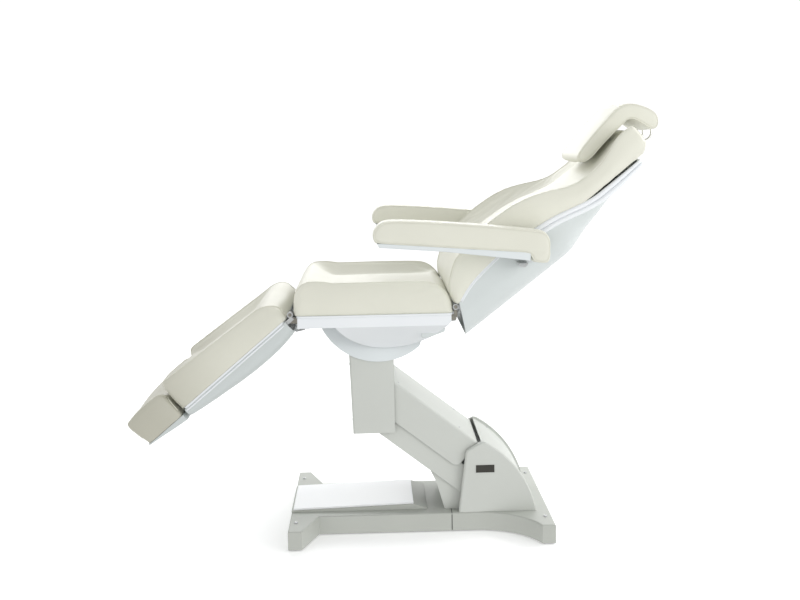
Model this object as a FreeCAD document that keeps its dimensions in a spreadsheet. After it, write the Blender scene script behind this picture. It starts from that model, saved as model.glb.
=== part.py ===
import FreeCAD, Part
import math
import os
import Sketcher

# A beauty treatment couch on a lifting base, in millimetres.
# X runs along the couch with the head end at +X, Z is up, and -Y is the left side.
# The origin is on the floor under the middle of the base.

Vector = FreeCAD.Vector
ALONG_Y = Vector(0, 1, 0)

SIZES = [
    # Base mouldings, chassis and feet
    ("base_length", 820.0, "length of the base over its feet"),
    ("base_width", 625.0, "width of the base over its feet"),
    ("base_height", 62.0, "height of the base mouldings"),
    ("body_width", 350.0, "width of the base between its feet"),
    ("foot_tip", 42.0, "length of a foot's end along X"),
    ("front_flare", 48.0, "run of the slanted flank of a front foot"),
    ("rear_flare", 195.0, "run of the hollow flank of a rear foot"),
    ("base_seam", 101.0, "X of the seam between the two base mouldings"),
    ("cover_wall", 4.0, "wall of the base mouldings"),
    ("base_bevel", 3.0, "bevel of the base's upper rim"),
    ("floor_gap", 4.0, "gap from the floor to the rim of the mouldings"),
    ("pad_radius", 15.0, "radius of a rubber foot pad"),
    ("pad_height", 12.0, "height of a rubber foot pad"),
    ("pad_inset", 40.0, "from the end of a foot to its pad"),
    ("bar_width", 30.0, "width of a chassis cross bar"),
    ("bar_height", 20.0, "height of a chassis cross bar"),
    ("plate_width", 280.0, "width of the chassis plate"),
    ("plate_thickness", 10.0, "thickness of the chassis plate"),
    ("screw_inset", 80.0, "from the end of a foot to its cover screw"),
    ("screw_radius", 2.5, "half the side of a cover screw's square shank"),
    ("screw_head_radius", 5.5, "half the width of a cover screw's eight-sided head"),
    ("screw_head_height", 2.5, "head height of a cover screw"),
    ("inlet_half", 24.0, "half the width of the mains inlet"),
    ("inlet_height", 22.0, "height of the mains inlet"),
    # Sloping front cover of the base
    ("ramp_width", 260.0, "width of the sloping front cover"),
    ("ramp_front", 5.0, "height of the front cover at its nose"),
    ("ramp_rise", 17.0, "height of the front cover at the end of its lid"),
    ("ramp_lid_end", -19.0, "X where the lid of the front cover ends"),
    ("ramp_tail", 43.0, "run of the slope behind the lid"),
    ("ramp_tail_height", 5.0, "height of the tail of the front cover"),
    ("lid_thickness", 5.0, "thickness of the lid of the front cover"),
    ("lid_inset", 6.0, "inset of the lid from the cover's edge"),
    # Hood over the rear pivots
    ("hood_corner_x", 149.0, "X of the hood's front shoulder"),
    ("hood_corner_height", 199.0, "height of the hood's front shoulder above the base"),
    ("hood_front_angle", 82.7, "steepness of the hood's front edge"),
    ("hood_slope", 30.0, "slope of the hood's top in front of its apex"),
    ("hood_fall", 30.0, "slope of the hood's top behind its apex"),
    ("hood_apex", 203.0, "X of the hood's apex"),
    ("hood_rear", 371.0, "X where the hood's back meets the base"),
    ("shoulder_round", 16.0, "rounding of the hood's front shoulder"),
    ("apex_round", 18.0, "rounding of the hood's apex"),
    ("hood_half", 154.0, "half the width between the hood's cheeks"),
    ("cheek_thickness", 18.0, "thickness of a hood cheek"),
    ("cheek_bevel", 4.0, "bevel of a cheek's outer edge"),
    ("hood_rim", 7.0, "how far the cheeks stand proud of the back cover"),
    ("hood_wall", 4.0, "wall of the hood's back cover"),
    ("apron_half", 133.0, "half the width of the apron"),
    ("apron_wall", 4.0, "wall of the apron"),
    ("apron_foot", 81.0, "X of the apron's front at the base"),
    ("apron_knee_x", 53.0, "X of the bend in the apron's front"),
    ("apron_knee_height", 95.0, "height of that bend above the base"),
    ("apron_top_x", 36.0, "X of the apron's upper front corner"),
    ("apron_height", 130.0, "height of the apron above the base"),
    ("apron_sill", 33.0, "height of the apron's front sill"),
    ("badge_start", 179.0, "X of the front of the bare dark plate"),
    ("badge_length", 58.0, "length of the bare dark plate"),
    ("badge_low", 129.0, "height of the plate's lower edge above the base"),
    ("badge_height", 24.0, "height of the bare dark plate"),
    ("badge_thickness", 1.5, "thickness of the bare dark plate"),
    # Lift linkage
    ("rear_pivot_x", 215.0, "X of the rear pivots"),
    ("rear_pivot_z", 130.0, "height of the lower rear pivot"),
    ("link_spacing", 85.0, "height between the lower and upper pivots"),
    ("link_length", 450.0, "length of both links between their pivots"),
    ("lift_angle", 38.0, "slope of the links as shown"),
    ("lift_mid", 14.0, "degrees below the shown slope where the lever points down"),
    ("lift_swing", 18.0, "swing of the lift lever to each side"),
    ("pin_radius", 12.0, "radius of the lift pivot pins"),
    ("pin_half", 120.0, "half the length of the lift pivot pins"),
    ("running_gap", 0.3, "clearance of a pin in its bore"),
    ("link_height", 44.0, "height of a link's bars"),
    ("link_bar", 12.0, "thickness of a link's bars"),
    ("link_half", 102.0, "half the width of a link"),
    ("tie_radius", 12.0, "half the side of a link's square middle tie"),
    ("bracket_half", 106.0, "half the width between the pivot plates"),
    ("bracket_plate", 10.0, "thickness of the pivot plates"),
    ("bracket_foot", 24.0, "width of a pivot plate's flange"),
    ("bracket_reach", 30.0, "from a pivot to the edge of its plate"),
    ("upper_half", 150.0, "half the width of the upper arm cover"),
    ("lower_half", 142.0, "half the width of the lower arm cover"),
    ("arm_wall", 4.0, "wall of the arm covers"),
    ("upper_top", 36.0, "top of the upper arm cover above its link"),
    ("upper_drop", 67.0, "lower edge of the upper arm cover below its link"),
    ("upper_start", 66.0, "from the rear pivot to the upper arm cover"),
    ("upper_end", 405.0, "from the rear pivot to the upper cover's front"),
    ("lower_rise", 18.0, "top of the lower arm cover above its link"),
    ("lower_drop", 60.0, "lower edge of the lower arm cover below its link"),
    ("lower_start", 40.0, "from the rear pivot to the lower arm cover"),
    ("lower_end", 425.0, "from the rear pivot to the lower cover's front"),
    ("lower_floor", 235.0, "where the floor of the lower arm cover starts"),
    ("arm_round", 20.0, "rounding of the arm covers' rear corners"),
    ("arm_edge", 8.0, "rounding of the upper cover's top edges"),
    # Spindle drives
    ("lift_rod_z", 42.0, "height of the lift spindle"),
    ("lift_tube_gap", 135.0, "from the lift pin to the mouth of its tube"),
    ("lift_tube_length", 230.0, "length of the lift drive's tube"),
    ("lift_gear_length", 70.0, "length of the lift drive's gearbox"),
    ("lift_motor_length", 115.0, "length of the lift drive's motor"),
    ("lift_rod_length", 295.0, "length of the lift drive's rod"),
    ("drive_tube", 14.0, "radius of a drive's outer tube"),
    ("drive_rod", 8.0, "radius of a drive's push rod"),
    ("drive_motor", 15.0, "radius of a drive's motor"),
    ("drive_box", 18.0, "half the width of a drive's gearbox"),
    ("fork_pin", 6.0, "radius of a fork's cross pin"),
    ("fork_tine", 6.0, "thickness of a fork's tine"),
    ("fork_height", 12.0, "half the height of a fork"),
    ("fork_length", 26.0, "from the root of a fork to its pin"),
    ("lever_half", 5.0, "half the thickness of a lever"),
    ("lever_width", 14.0, "half the width of a lever's end"),
    ("lever_root", 9.0, "half the width of a lever at its root"),
    ("slot_play", 2.7, "play of a fork pin across its slot"),
    ("lever_rim", 5.0, "metal beyond the end of a lever's slot"),
    ("control_length", 72.0, "length of the control box"),
    ("control_half", 100.0, "half the width of the control box"),
    ("control_height", 70.0, "height of the control box"),
    # Column and tilt head
    ("column_lean", 8.0, "lean of the column's front face"),
    ("column_front", 66.0, "from the front pivots to the foot of the column's front"),
    ("column_rear", 66.0, "from the front pivots to the column's rear edge"),
    ("column_drop", 84.0, "from the lower front pivot to the column's lower edge"),
    ("column_rise", 188.0, "from the lower front pivot to the column's top edge"),
    ("column_half", 158.0, "half the width of the column"),
    ("column_wall", 4.0, "wall of the column cover"),
    ("column_round", 7.0, "rounding of the column's front edges"),
    ("frame_front", 28.0, "from the front pivots to the frame plates' front"),
    ("frame_rear", 42.0, "from the front pivots to the frame plates' rear"),
    ("frame_drop", 24.0, "from the lower front pivot to the plates' foot"),
    ("stud_radius", 8.0, "half the side of the square studs that carry the covers"),
    ("head_x", 20.0, "centre of the tilt head's curve from the front pivots"),
    ("head_z", 342.0, "height of that centre above the lower front pivot"),
    ("head_radius", 195.0, "radius of the tilt head's curve"),
    ("head_top", 258.0, "top of the tilt head above the lower front pivot"),
    ("head_rear", 146.0, "rear end of the curve from the front pivots"),
    ("head_tail", 16.0, "lean of the head's rear wall"),
    ("head_tail_rise", 40.0, "rise of the head's leaning rear wall"),
    ("head_half", 166.0, "half the width of the tilt head"),
    ("head_wall", 4.0, "wall of the tilt head"),
    ("tilt_x", 25.0, "tilt axis from the front pivots, along X"),
    ("tilt_z", 283.0, "tilt axis above the lower front pivot"),
    ("tilt_drop", 70.0, "tilt spindle below the tilt axis"),
    ("tilt_tube_reach", 70.0, "how far the tilt drive stands out in front of its plates"),
    ("tilt_motor_length", 30.0, "length of the tilt drive's motor"),
    ("tilt_gear_length", 20.0, "length of the tilt drive's gearbox"),
    ("tilt_rod_root", 16.0, "from the tilt drive's end to its rod"),
    ("tilt_mid", 6.0, "degrees of tilt where the tilt lever points down"),
    ("tilt_swing", 6.0, "swing of the tilt lever to each side"),
    ("axle_radius", 10.0, "radius of the tilt axles"),
    ("axle_end", 140.0, "Y of the tilt axles' outer ends"),
    # Seat, measured from the tilt axis
    ("seat_front", 246.0, "from the tilt axis to the seat pan's front"),
    ("seat_rear", 213.0, "from the tilt axis to the seat pan's rear"),
    ("seat_half", 305.0, "half the width of the seat pan"),
    ("pan_top", 28.0, "top of the seat pan above the tilt axis"),
    ("pan_low", 3.0, "lower edge of the pan's rim below the tilt axis"),
    ("pan_wall", 4.0, "wall of the seat pan"),
    ("skirt_half", 176.0, "half the width of the skirts at their lowest"),
    ("skirt_drop", 90.0, "lowest point of the skirts below the tilt axis"),
    ("skirt_front", 134.0, "from the tilt axis to the start of the skirts"),
    ("skirt_low", 15.0, "X of the skirts' lowest point from the tilt axis"),
    ("skirt_rear", 160.0, "X of the skirts' rear corner"),
    ("skirt_rear_drop", 45.0, "depth of the skirts' rear corner"),
    ("skirt_tail", 8.0, "height of the skirts' end at the pan's rear"),
    ("well_front", 200.0, "from the tilt axis to the front of the pan's well"),
    ("well_rear", 178.0, "from the tilt axis to the rear of the pan's well"),
    ("rear_bay", 160.0, "half the width of the open bay at the pan's rear"),
    ("rail_inner", 120.0, "half the width between the seat rails"),
    ("rail_width", 26.0, "width of a seat rail"),
    ("rail_half", 20.0, "half the height of a seat rail"),
    ("rail_front", 238.0, "from the tilt axis to the rails' front"),
    ("rail_rear", 205.0, "from the tilt axis to the rails' rear"),
    ("seat_drive_y", 75.0, "Y of the drives beside the tilt head"),
    ("seat_drive_z", 28.0, "depth of those drives below the tilt axis"),
    ("drive_arm_x", 60.0, "from the tilt axis to the arms that hold those drives"),
    ("drive_arm_width", 20.0, "width of those arms"),
    ("back_tube_gap", 96.0, "from the back pin to the mouth of its tube"),
    ("back_gear_length", 46.0, "length of the back drive's gearbox"),
    ("back_motor_length", 70.0, "length of the back drive's motor"),
    ("back_rod_length", 240.0, "length of the back drive's rod"),
    ("leg_tube_gap", 88.0, "from the leg pin to the mouth of its tube"),
    ("leg_gear_length", 18.0, "length of the leg drive's gearbox"),
    ("leg_motor_length", 28.0, "length of the leg drive's motor"),
    ("leg_rod_length", 210.0, "length of the leg drive's rod"),
    ("trim_height", 6.0, "height of the trim under a cushion"),
    ("trim_lip", 3.0, "how far the trim stands out from the pan"),
    ("trim_round", 16.0, "rounding of the trim's corners"),
    ("soft_gap", 0.3, "clearance under a cushion"),
    ("seat_crest", 103.0, "height of the seat cushion's side bolsters"),
    ("seat_hollow", 58.0, "height of the seat cushion in its hollow"),
    ("seat_overhang", 10.0, "how far the seat cushion's front stands out"),
    # Hinges
    ("leg_hinge_x", 268.0, "from the tilt axis to the leg hinge"),
    ("leg_hinge_z", 37.0, "leg hinge above the tilt axis"),
    ("back_hinge_x", 227.0, "from the tilt axis to the back hinge"),
    ("back_hinge_z", 50.0, "back hinge above the tilt axis"),
    ("hinge_pin", 5.0, "radius of the hinge pins"),
    ("hinge_eye", 9.0, "radius of the hinge eyes"),
    ("leaf_thickness", 6.0, "thickness of a hinge leaf"),
    ("leaf_y", 282.0, "Y of the middle of a fixed leaf"),
    ("leaf_gap", 1.0, "gap between two leaves of a hinge"),
    # Leg rest, measured from its hinge along the leg
    ("leg_angle", 40.0, "slope of the leg rest as shown"),
    ("leg_mid", 11.5, "degrees above the shown slope where the lever points down"),
    ("leg_swing", 26.5, "swing of the leg lever to each side"),
    ("leg_start", 28.0, "from the hinge to the leg shell"),
    ("leg_end", 430.0, "from the hinge to the end of the leg shell"),
    ("leg_half", 300.0, "half the width of the leg shell"),
    ("leg_depth", 54.0, "depth of the leg shell at the hinge"),
    ("leg_depth_end", 37.0, "depth of the leg shell at its end"),
    ("leg_side", 19.0, "height of the leg shell's upright side"),
    ("leg_keel", 250.0, "half the width of the leg shell's underside"),
    ("shell_wall", 4.0, "wall of the leg and back shells"),
    ("leg_rail_y", 152.5, "Y of the leg rails"),
    ("leg_rail_width", 25.0, "width of a leg rail"),
    ("leg_rail_height", 28.0, "height of a leg rail"),
    ("leg_rail_start", 50.0, "from the hinge to the leg rails"),
    ("leg_rail_end", 395.0, "from the hinge to the leg rails' end"),
    ("leg_crest_start", 74.0, "height of the leg bolsters at the hinge"),
    ("leg_crest_end", 102.0, "height of the leg bolsters at the foot"),
    ("leg_hollow", 24.0, "depth of the leg cushion's hollow"),
    ("leg_cushion_start", 12.0, "from the hinge to the leg cushion"),
    ("leg_cushion_end", 438.0, "from the hinge to the leg cushion's end"),
    # Foot extension
    ("foot_start", 442.0, "from the leg hinge to the foot extension"),
    ("foot_end", 584.0, "from the leg hinge to the foot cushion's end"),
    ("foot_half", 298.0, "half the width of the foot tray"),
    ("foot_tray_top", 14.0, "top of the foot tray below the leg hinge line"),
    ("foot_tray_depth", 20.0, "thickness of the foot tray"),
    ("foot_crest", 84.0, "top of the foot cushion above the leg hinge line"),
    ("slide_rod", 8.0, "radius of the foot slide rods"),
    ("slide_reach", 225.0, "length of the slide rods"),
    # Backrest, measured from its hinge along the back
    ("back_angle", 38.0, "slope of the backrest as shown"),
    ("back_mid", 7.0, "degrees below the shown slope where the lever points down"),
    ("back_swing", 29.0, "swing of the back lever to each side"),
    ("back_heel", 32.0, "how far the back shell reaches past the hinge"),
    ("back_depth", 98.0, "depth of the back shell"),
    ("back_flat", 366.0, "from the hinge to the end of the shell's deep part"),
    ("back_slim_x", 585.0, "from the hinge to the start of the shell's slim part"),
    ("back_slim_z", 36.0, "depth of the shell at the start of its slim part"),
    ("back_end", 697.0, "from the hinge to the top of the back shell"),
    ("back_end_low", 28.0, "depth of the back shell at its top"),
    ("back_half", 300.0, "half the width of the back shell"),
    ("back_top_draw", 40.0, "how much each side of the back draws in at its top"),
    ("back_keel", 240.0, "half the width of the back shell's underside"),
    ("back_side", 45.0, "depth where the back shell's sides start to slope"),
    ("seam_start_x", 15.0, "from the hinge to the start of the back seam"),
    ("seam_start_z", -2.0, "height of the back seam at its start"),
    ("seam_low_x", 115.0, "from the hinge to the seam's lower bend"),
    ("seam_low_z", 29.0, "height of the seam's lower bend"),
    ("seam_mid_x", 235.0, "from the hinge to the seam's highest part"),
    ("seam_mid_z", 38.0, "height of the seam's highest part"),
    ("seam_high_x", 361.0, "from the hinge to the seam's upper bend"),
    ("seam_high_z", 28.0, "height of the seam's upper bend"),
    ("seam_neck_x", 545.0, "from the hinge to the seam at the neck"),
    ("seam_neck_z", -10.0, "height of the seam at the neck"),
    ("seam_end_z", -12.0, "height of the seam at the top of the back"),
    ("back_rail_y", 182.0, "Y of the back rails"),
    ("back_rail_width", 25.0, "width of a back rail"),
    ("back_rail_height", 62.0, "height of a back rail"),
    ("back_foot_crest", 85.0, "height of the back bolsters at their lower end"),
    ("lumbar_crest", 137.0, "height of the back bolsters at the small of the back"),
    ("neck_crest", 58.0, "height of the back bolsters at the neck"),
    ("top_crest", 88.0, "height of the back cushion's top roll"),
    ("back_hollow", 46.0, "depth of the back cushion's hollow"),
    ("back_cushion_start", 42.0, "from the hinge to the back cushion"),
    ("back_cushion_end", 735.0, "from the hinge to the back cushion's top"),
    # Head pillow
    ("pillow_half", 150.0, "half the width of the head pillow"),
    ("pillow_start", 574.0, "from the back hinge to the pillow's lower end"),
    ("pillow_run", 183.0, "from the pillow's lower end to its bend"),
    ("pillow_over", 86.0, "from the pillow's bend to its outer face"),
    ("pillow_round", 2.0, "draw-in of the pillow's outline across its width"),
    ("pillow_end_round", 12.0, "draw-in of the pillow's outline at its two sides"),
    ("pillow_under", 92.0, "height of the pillow's underside at its bend"),
    ("pillow_thick", 48.0, "thickness of the pillow"),
    ("pillow_hook", 18.0, "height of the pillow's hooked end"),
    ("pillow_slope", 20.0, "fall of the pillow towards its lower end"),
    ("bail_radius", 4.0, "radius of the pillow's wire bail"),
    ("bail_y", 55.0, "Y of the bail's legs"),
    ("bail_z", 38.0, "height of the bail above the hinge line"),
    ("bail_length", 150.0, "length of the bail's legs"),
    # Armrests, measured from their pivot along the arm
    ("arm_angle", 4.6, "slope of the armrests as shown"),
    ("arm_pivot_x", 270.0, "from the back hinge to the armrest pivot"),
    ("arm_pivot_z", -17.0, "armrest pivot above the back hinge line"),
    ("arm_pin", 8.0, "radius of the armrest pins"),
    ("arm_boss", 20.0, "radius of the armrest bosses"),
    ("arm_boss_end", 322.0, "Y of the armrest bosses' ends"),
    ("arm_hub", 16.5, "radius of the armrest hubs"),
    ("arm_inner", 328.0, "Y of an armrest's inner side"),
    ("arm_width", 95.0, "width of an armrest pad"),
    ("arm_front", 470.0, "from the pivot to the pad's front"),
    ("arm_back", 40.0, "from the pivot to the pad's rear"),
    ("arm_seam", 17.0, "height of the seam between pad and base"),
    ("arm_top", 84.0, "height of the pad's top"),
    ("arm_base_depth", 12.0, "depth of the armrest base at its front"),
    ("arm_base_heel", 23.0, "depth of the armrest base at its rear"),
    ("arm_cap", 10.0, "how far the pad's rear end hangs below the pivot"),
]


# Sizes that carry their sheet expression
class Size:
    """A number together with the sheet expression that gives it."""

    def __init__(self, number, text):
        self.number = float(number)
        self.text = text

    def __add__(self, other):
        other = as_size(other)
        return Size(self.number + other.number, f"({self.text} + {other.text})")

    def __radd__(self, other):
        return as_size(other) + self

    def __sub__(self, other):
        other = as_size(other)
        return Size(self.number - other.number, f"({self.text} - {other.text})")

    def __rsub__(self, other):
        return as_size(other) - self

    def __mul__(self, other):
        other = as_size(other)
        return Size(self.number * other.number, f"({self.text} * {other.text})")

    def __rmul__(self, other):
        return as_size(other) * self

    def __truediv__(self, other):
        other = as_size(other)
        return Size(self.number / other.number, f"({self.text} / {other.text})")

    def __neg__(self):
        return Size(-self.number, f"(-1 * {self.text})")


def as_size(value):
    if isinstance(value, Size):
        return value
    return Size(value, f"({float(value)!r})")


def cos_of(angle):
    return Size(math.cos(math.radians(angle.number)), f"cos({angle.text})")


def sin_of(angle):
    return Size(math.sin(math.radians(angle.number)), f"sin({angle.text})")


def tan_of(angle):
    return Size(math.tan(math.radians(angle.number)), f"tan({angle.text})")


def root_of(value):
    return Size(math.sqrt(value.number), f"sqrt({value.text})")


class Sheet:
    """Reads a named cell of the spreadsheet as a Size."""

    def __getattr__(self, alias):
        return Size(sheet.get(alias), f"Sizes.{alias}")


doc = FreeCAD.newDocument("treatment_couch")
sheet = doc.addObject("Spreadsheet::Sheet", "Sizes")
for row, (alias, value, note) in enumerate(SIZES, start=1):
    sheet.set(f"A{row}", alias)
    sheet.set(f"B{row}", str(value))
    sheet.setAlias(f"B{row}", alias)
    sheet.set(f"C{row}", note)
doc.recompute()
d = Sheet()

nodes = {}
serial = {"count": 0}


# Building blocks
def helper_name(words):
    serial["count"] += 1
    return f"{words}_{serial['count']}"


def bind(obj, prop, value):
    obj.setExpression(prop, as_size(value).text)


def bind_base(obj, x, y, z):
    for axis, value in zip("xyz", (x, y, z)):
        bind(obj, f"Placement.Base.{axis}", value)


def box(x, y, z):
    """A block from the low to the high end of three spans."""
    obj = doc.addObject("Part::Box", helper_name("block"))
    for prop, (low, high) in zip(("Length", "Width", "Height"), (x, y, z)):
        bind(obj, prop, as_size(high) - low)
    bind_base(obj, x[0], y[0], z[0])
    return obj


def both_sides(span):
    """The mirror span of a span in Y."""
    low, high = span
    return (-as_size(high), -as_size(low))


def round_bar(axis, at, span, radius):
    """A cylinder along X, Y or Z through a point of the other two axes."""
    obj = doc.addObject("Part::Cylinder", helper_name("bar"))
    low, high = span
    bind(obj, "Radius", radius)
    bind(obj, "Height", as_size(high) - low)
    if axis == "X":
        obj.Placement = FreeCAD.Placement(Vector(), FreeCAD.Rotation(ALONG_Y, 90))
        bind_base(obj, low, at[0], at[1])
    elif axis == "Y":
        obj.Placement = FreeCAD.Placement(Vector(), FreeCAD.Rotation(Vector(1, 0, 0), -90))
        bind_base(obj, at[0], low, at[1])
    else:
        bind_base(obj, at[0], at[1], low)
    return obj


def fuse(parts):
    obj = doc.addObject("Part::MultiFuse", helper_name("union"))
    obj.Shapes = parts
    obj.Refine = True
    return obj


def group(parts):
    obj = doc.addObject("Part::Compound", helper_name("group"))
    obj.Links = parts
    return obj


def cut(base, tools):
    obj = doc.addObject("Part::Cut", helper_name("cut"))
    obj.Base = base
    obj.Tool = tools[0] if len(tools) == 1 else fuse(tools)
    obj.Refine = True
    return obj


def common(first, second):
    obj = doc.addObject("Part::Common", helper_name("overlap"))
    obj.Base = first
    obj.Tool = second
    obj.Refine = True
    return obj


def arc_edge(start, end, radius, turn):
    """An arc under a half circle; turn is 1 with its centre on the left, -1 on the right."""
    chord = end - start
    left = Vector(-chord.y, chord.x, 0).normalize()
    to_centre = math.sqrt(max(radius ** 2 - (chord.Length / 2) ** 2, 0.0))
    centre = (start + end) * 0.5 + left * (turn * to_centre)
    first, last = (start, end) if turn > 0 else (end, start)
    angles = []
    for point in (first, last):
        angles.append(math.atan2(point.y - centre.y, point.x - centre.x))
    circle = Part.Circle(centre, Vector(0, 0, 1), radius)
    return Part.ArcOfCircle(circle, angles[0], angles[1])


def constrain(sketch, kind, places, value):
    index = sketch.addConstraint(Sketcher.Constraint(kind, *places, as_size(value).number))
    sketch.setExpression(f"Constraints[{index}]", as_size(value).text)


def draw_outline(sketch, corners):
    """Close an outline; a corner with a radius and a turn starts an arc to the next corner."""
    points = [Vector(as_size(c[0]).number, as_size(c[1]).number, 0) for c in corners]
    ends = []
    for index, corner in enumerate(corners):
        start = points[index]
        end = points[(index + 1) % len(points)]
        if len(corner) == 4:
            sketch.addGeometry(arc_edge(start, end, as_size(corner[2]).number, corner[3]), False)
            ends.append((1, 2) if corner[3] > 0 else (2, 1))
        else:
            sketch.addGeometry(Part.LineSegment(start, end), False)
            ends.append((1, 2))
    for index in range(len(corners)):
        following = (index + 1) % len(corners)
        joint = Sketcher.Constraint("Coincident", index, ends[index][1], following, ends[following][0])
        sketch.addConstraint(joint)
    for index, corner in enumerate(corners):
        constrain(sketch, "DistanceX", (index, ends[index][0]), corner[0])
        constrain(sketch, "DistanceY", (index, ends[index][0]), corner[1])
        if len(corner) == 4:
            constrain(sketch, "Radius", (index,), corner[2])


def prism(plane, corners, span):
    """A body padded from an outline on an origin plane over a span along that plane's axis."""
    body = doc.addObject("PartDesign::Body", helper_name("body"))
    sketch = body.newObject("Sketcher::SketchObject", helper_name("outline"))
    support = [f for f in body.Origin.OriginFeatures if f.Role == plane][0]
    sketch.AttachmentSupport = (support, [""])
    sketch.MapMode = "FlatFace"
    draw_outline(sketch, corners)
    low, high = as_size(span[0]), as_size(span[1])
    middle = (low + high) / 2
    bind(sketch, "AttachmentOffset.Base.z", -middle if plane == "XZ_Plane" else middle)
    pad = body.newObject("PartDesign::Pad", helper_name("pad"))
    pad.Profile = sketch
    pad.SideType = "Symmetric"
    bind(pad, "Length", high - low)
    return body


def soften(body, size, wanted, kind="PartDesign::Fillet"):
    """Round or bevel the edges of a body's last feature that pass a test."""
    doc.recompute()
    last = body.Tip
    names = []
    for index, edge in enumerate(last.Shape.Edges, start=1):
        if wanted(edge):
            names.append(f"Edge{index}")
    dressing = body.newObject(kind, helper_name("edge"))
    dressing.Base = (last, names)
    bind(dressing, "Radius" if kind == "PartDesign::Fillet" else "Size", size)
    return body


def lies_at(edge, axis, value):
    """True for an edge that lies wholly in a plane across one axis."""
    low = getattr(edge.BoundBox, axis + "Min")
    high = getattr(edge.BoundBox, axis + "Max")
    return abs(low - value.number) < 0.01 and abs(high - value.number) < 0.01


def runs_along(edge, axis):
    """True for a straight edge along one axis."""
    direction = edge.Vertexes[-1].Point - edge.Vertexes[0].Point
    return abs(getattr(direction, axis.lower())) > 0.999 * direction.Length > 0


class Frame:
    """A place in the couch: a point of the XZ plane and a turn about Y, 1 or -1 by sense."""

    def __init__(self, x, z, angle=None, sense=1):
        self.x = as_size(x)
        self.z = as_size(z)
        self.angle = angle
        self.sense = sense

    def point(self, along, up):
        """The X and Z of a point given in this frame."""
        if self.angle is None:
            return (self.x + along, self.z + up)
        c, s = cos_of(self.angle), sin_of(self.angle)
        x = self.x + along * c + up * s * self.sense
        z = self.z - along * s * self.sense + up * c
        return (x, z)


def keep(name, obj, frame=None):
    """Name a finished piece and set it in its frame."""
    obj.Label = name
    if frame is not None:
        if frame.angle is not None:
            turn = FreeCAD.Rotation(Vector(0, frame.sense, 0), frame.angle.number)
            obj.Placement = FreeCAD.Placement(Vector(), turn)
            bind(obj, "Placement.Rotation.Angle", frame.angle)
        bind(obj, "Placement.Base.x", frame.x)
        bind(obj, "Placement.Base.z", frame.z)
    nodes[name] = obj


# Frames of the moving groups
lower_frame = Frame(d.rear_pivot_x, d.rear_pivot_z, d.lift_angle, 1)
upper_frame = Frame(d.rear_pivot_x, d.rear_pivot_z + d.link_spacing, d.lift_angle, 1)
column_frame = Frame(*lower_frame.point(-d.link_length, as_size(0)))
seat_frame = Frame(*column_frame.point(d.tilt_x, d.tilt_z))
leg_frame = Frame(*seat_frame.point(-d.leg_hinge_x, d.leg_hinge_z), d.leg_angle, -1)
back_frame = Frame(*seat_frame.point(d.back_hinge_x, d.back_hinge_z), d.back_angle, -1)
arm_frame = Frame(*back_frame.point(d.arm_pivot_x, d.arm_pivot_z), d.arm_angle, 1)

ZERO = as_size(0)


def centred(half):
    """A span from minus to plus a half width."""
    return (-as_size(half), as_size(half))


# Levers, forks and drives
def lever_plate(angle, sense, reach, swing, y_span, root=None):
    """A slotted lever that points straight down when its body has turned by the given angle."""
    along = (sense * sin_of(angle), -cos_of(angle))
    across = (cos_of(angle), sense * sin_of(angle))

    def corner(out, aside):
        return (along[0] * out + across[0] * aside, along[1] * out + across[1] * aside)

    slot_half = d.fork_pin + d.slot_play
    slot_end = reach / cos_of(swing) + slot_half
    tip = slot_end + d.lever_rim
    slot_start = reach - slot_half
    eye = slot_start - d.lever_rim * 1.5
    x, z = root if root else (ZERO, ZERO)
    side_x, side_z = across[0] * d.lever_root, across[1] * d.lever_root
    outline = [(x - side_x, z - side_z), (x + side_x, z + side_z)]
    if root and root[0].number < 0:
        outline.append(corner(eye, d.lever_width))
    outline += [corner(tip, d.lever_width), corner(tip, -d.lever_width)]
    if root and root[0].number > 0:
        outline.append(corner(eye, -d.lever_width))
    plate = prism("XZ_Plane", outline, y_span)
    slot = prism("XZ_Plane", [
        corner(slot_start, -slot_half), corner(slot_start, slot_half),
        corner(slot_end, slot_half), corner(slot_end, -slot_half)],
        (as_size(y_span[0]) - 1, as_size(y_span[1]) + 1))
    return cut(plate, [slot])


def push_rod(root_x, pin_x, y, z):
    """A spindle rod with a two-tined fork and its cross pin; the root may lie on either side."""
    heading = 1 if pin_x.number > root_x.number else -1
    fork_x = pin_x - heading * d.fork_length
    inner = d.lever_half + d.slot_play
    outer = inner + d.fork_tine

    def span(a, b):
        return (a, b) if heading > 0 else (b, a)

    parts = [round_bar("X", (y, z), span(root_x, fork_x), d.drive_rod)]
    height = (z - d.fork_height, z + d.fork_height)
    root = span(fork_x - heading * d.fork_tine, fork_x)
    parts.append(box(root, (y - outer, y + outer), height))
    tine_x = span(fork_x - heading * d.fork_tine, pin_x + heading * d.fork_height)
    parts.append(box(tine_x, (y + inner, y + outer), height))
    parts.append(box(tine_x, (y - outer, y - inner), height))
    parts.append(round_bar("Y", (pin_x, z), (y - outer, y + outer), d.fork_pin))
    return fuse(parts)


def spindle_drive(tube_x, box_x, motor_x, y, z, extra):
    """A motor, a gearbox and an outer tube in line along X, with what mounts them."""
    bore = d.drive_rod + d.running_gap
    body = fuse([
        round_bar("X", (y, z), tube_x, d.drive_tube),
        box(box_x, (y - d.drive_box, y + d.drive_box), (z - d.drive_tube, z + d.drive_tube)),
        round_bar("X", (y, z), motor_x, d.drive_motor)] + extra)
    return cut(body, [round_bar("X", (y, z), (tube_x[0] - 1, tube_x[1] + 1), bore)])


# Base
base_half = d.base_length / 2
foot_x = base_half - d.foot_tip / 2
foot_y = d.base_width / 2
plate_top = d.pad_height + d.plate_thickness
body_half = d.body_width / 2
hood_foot = d.hood_corner_x - d.hood_corner_height / tan_of(d.hood_front_angle)


def corners_of(x, y):
    """The four mirrored places of a point of the base."""
    return [(sx * x, sy * y) for sx in (-1, 1) for sy in (-1, 1)]


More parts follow.
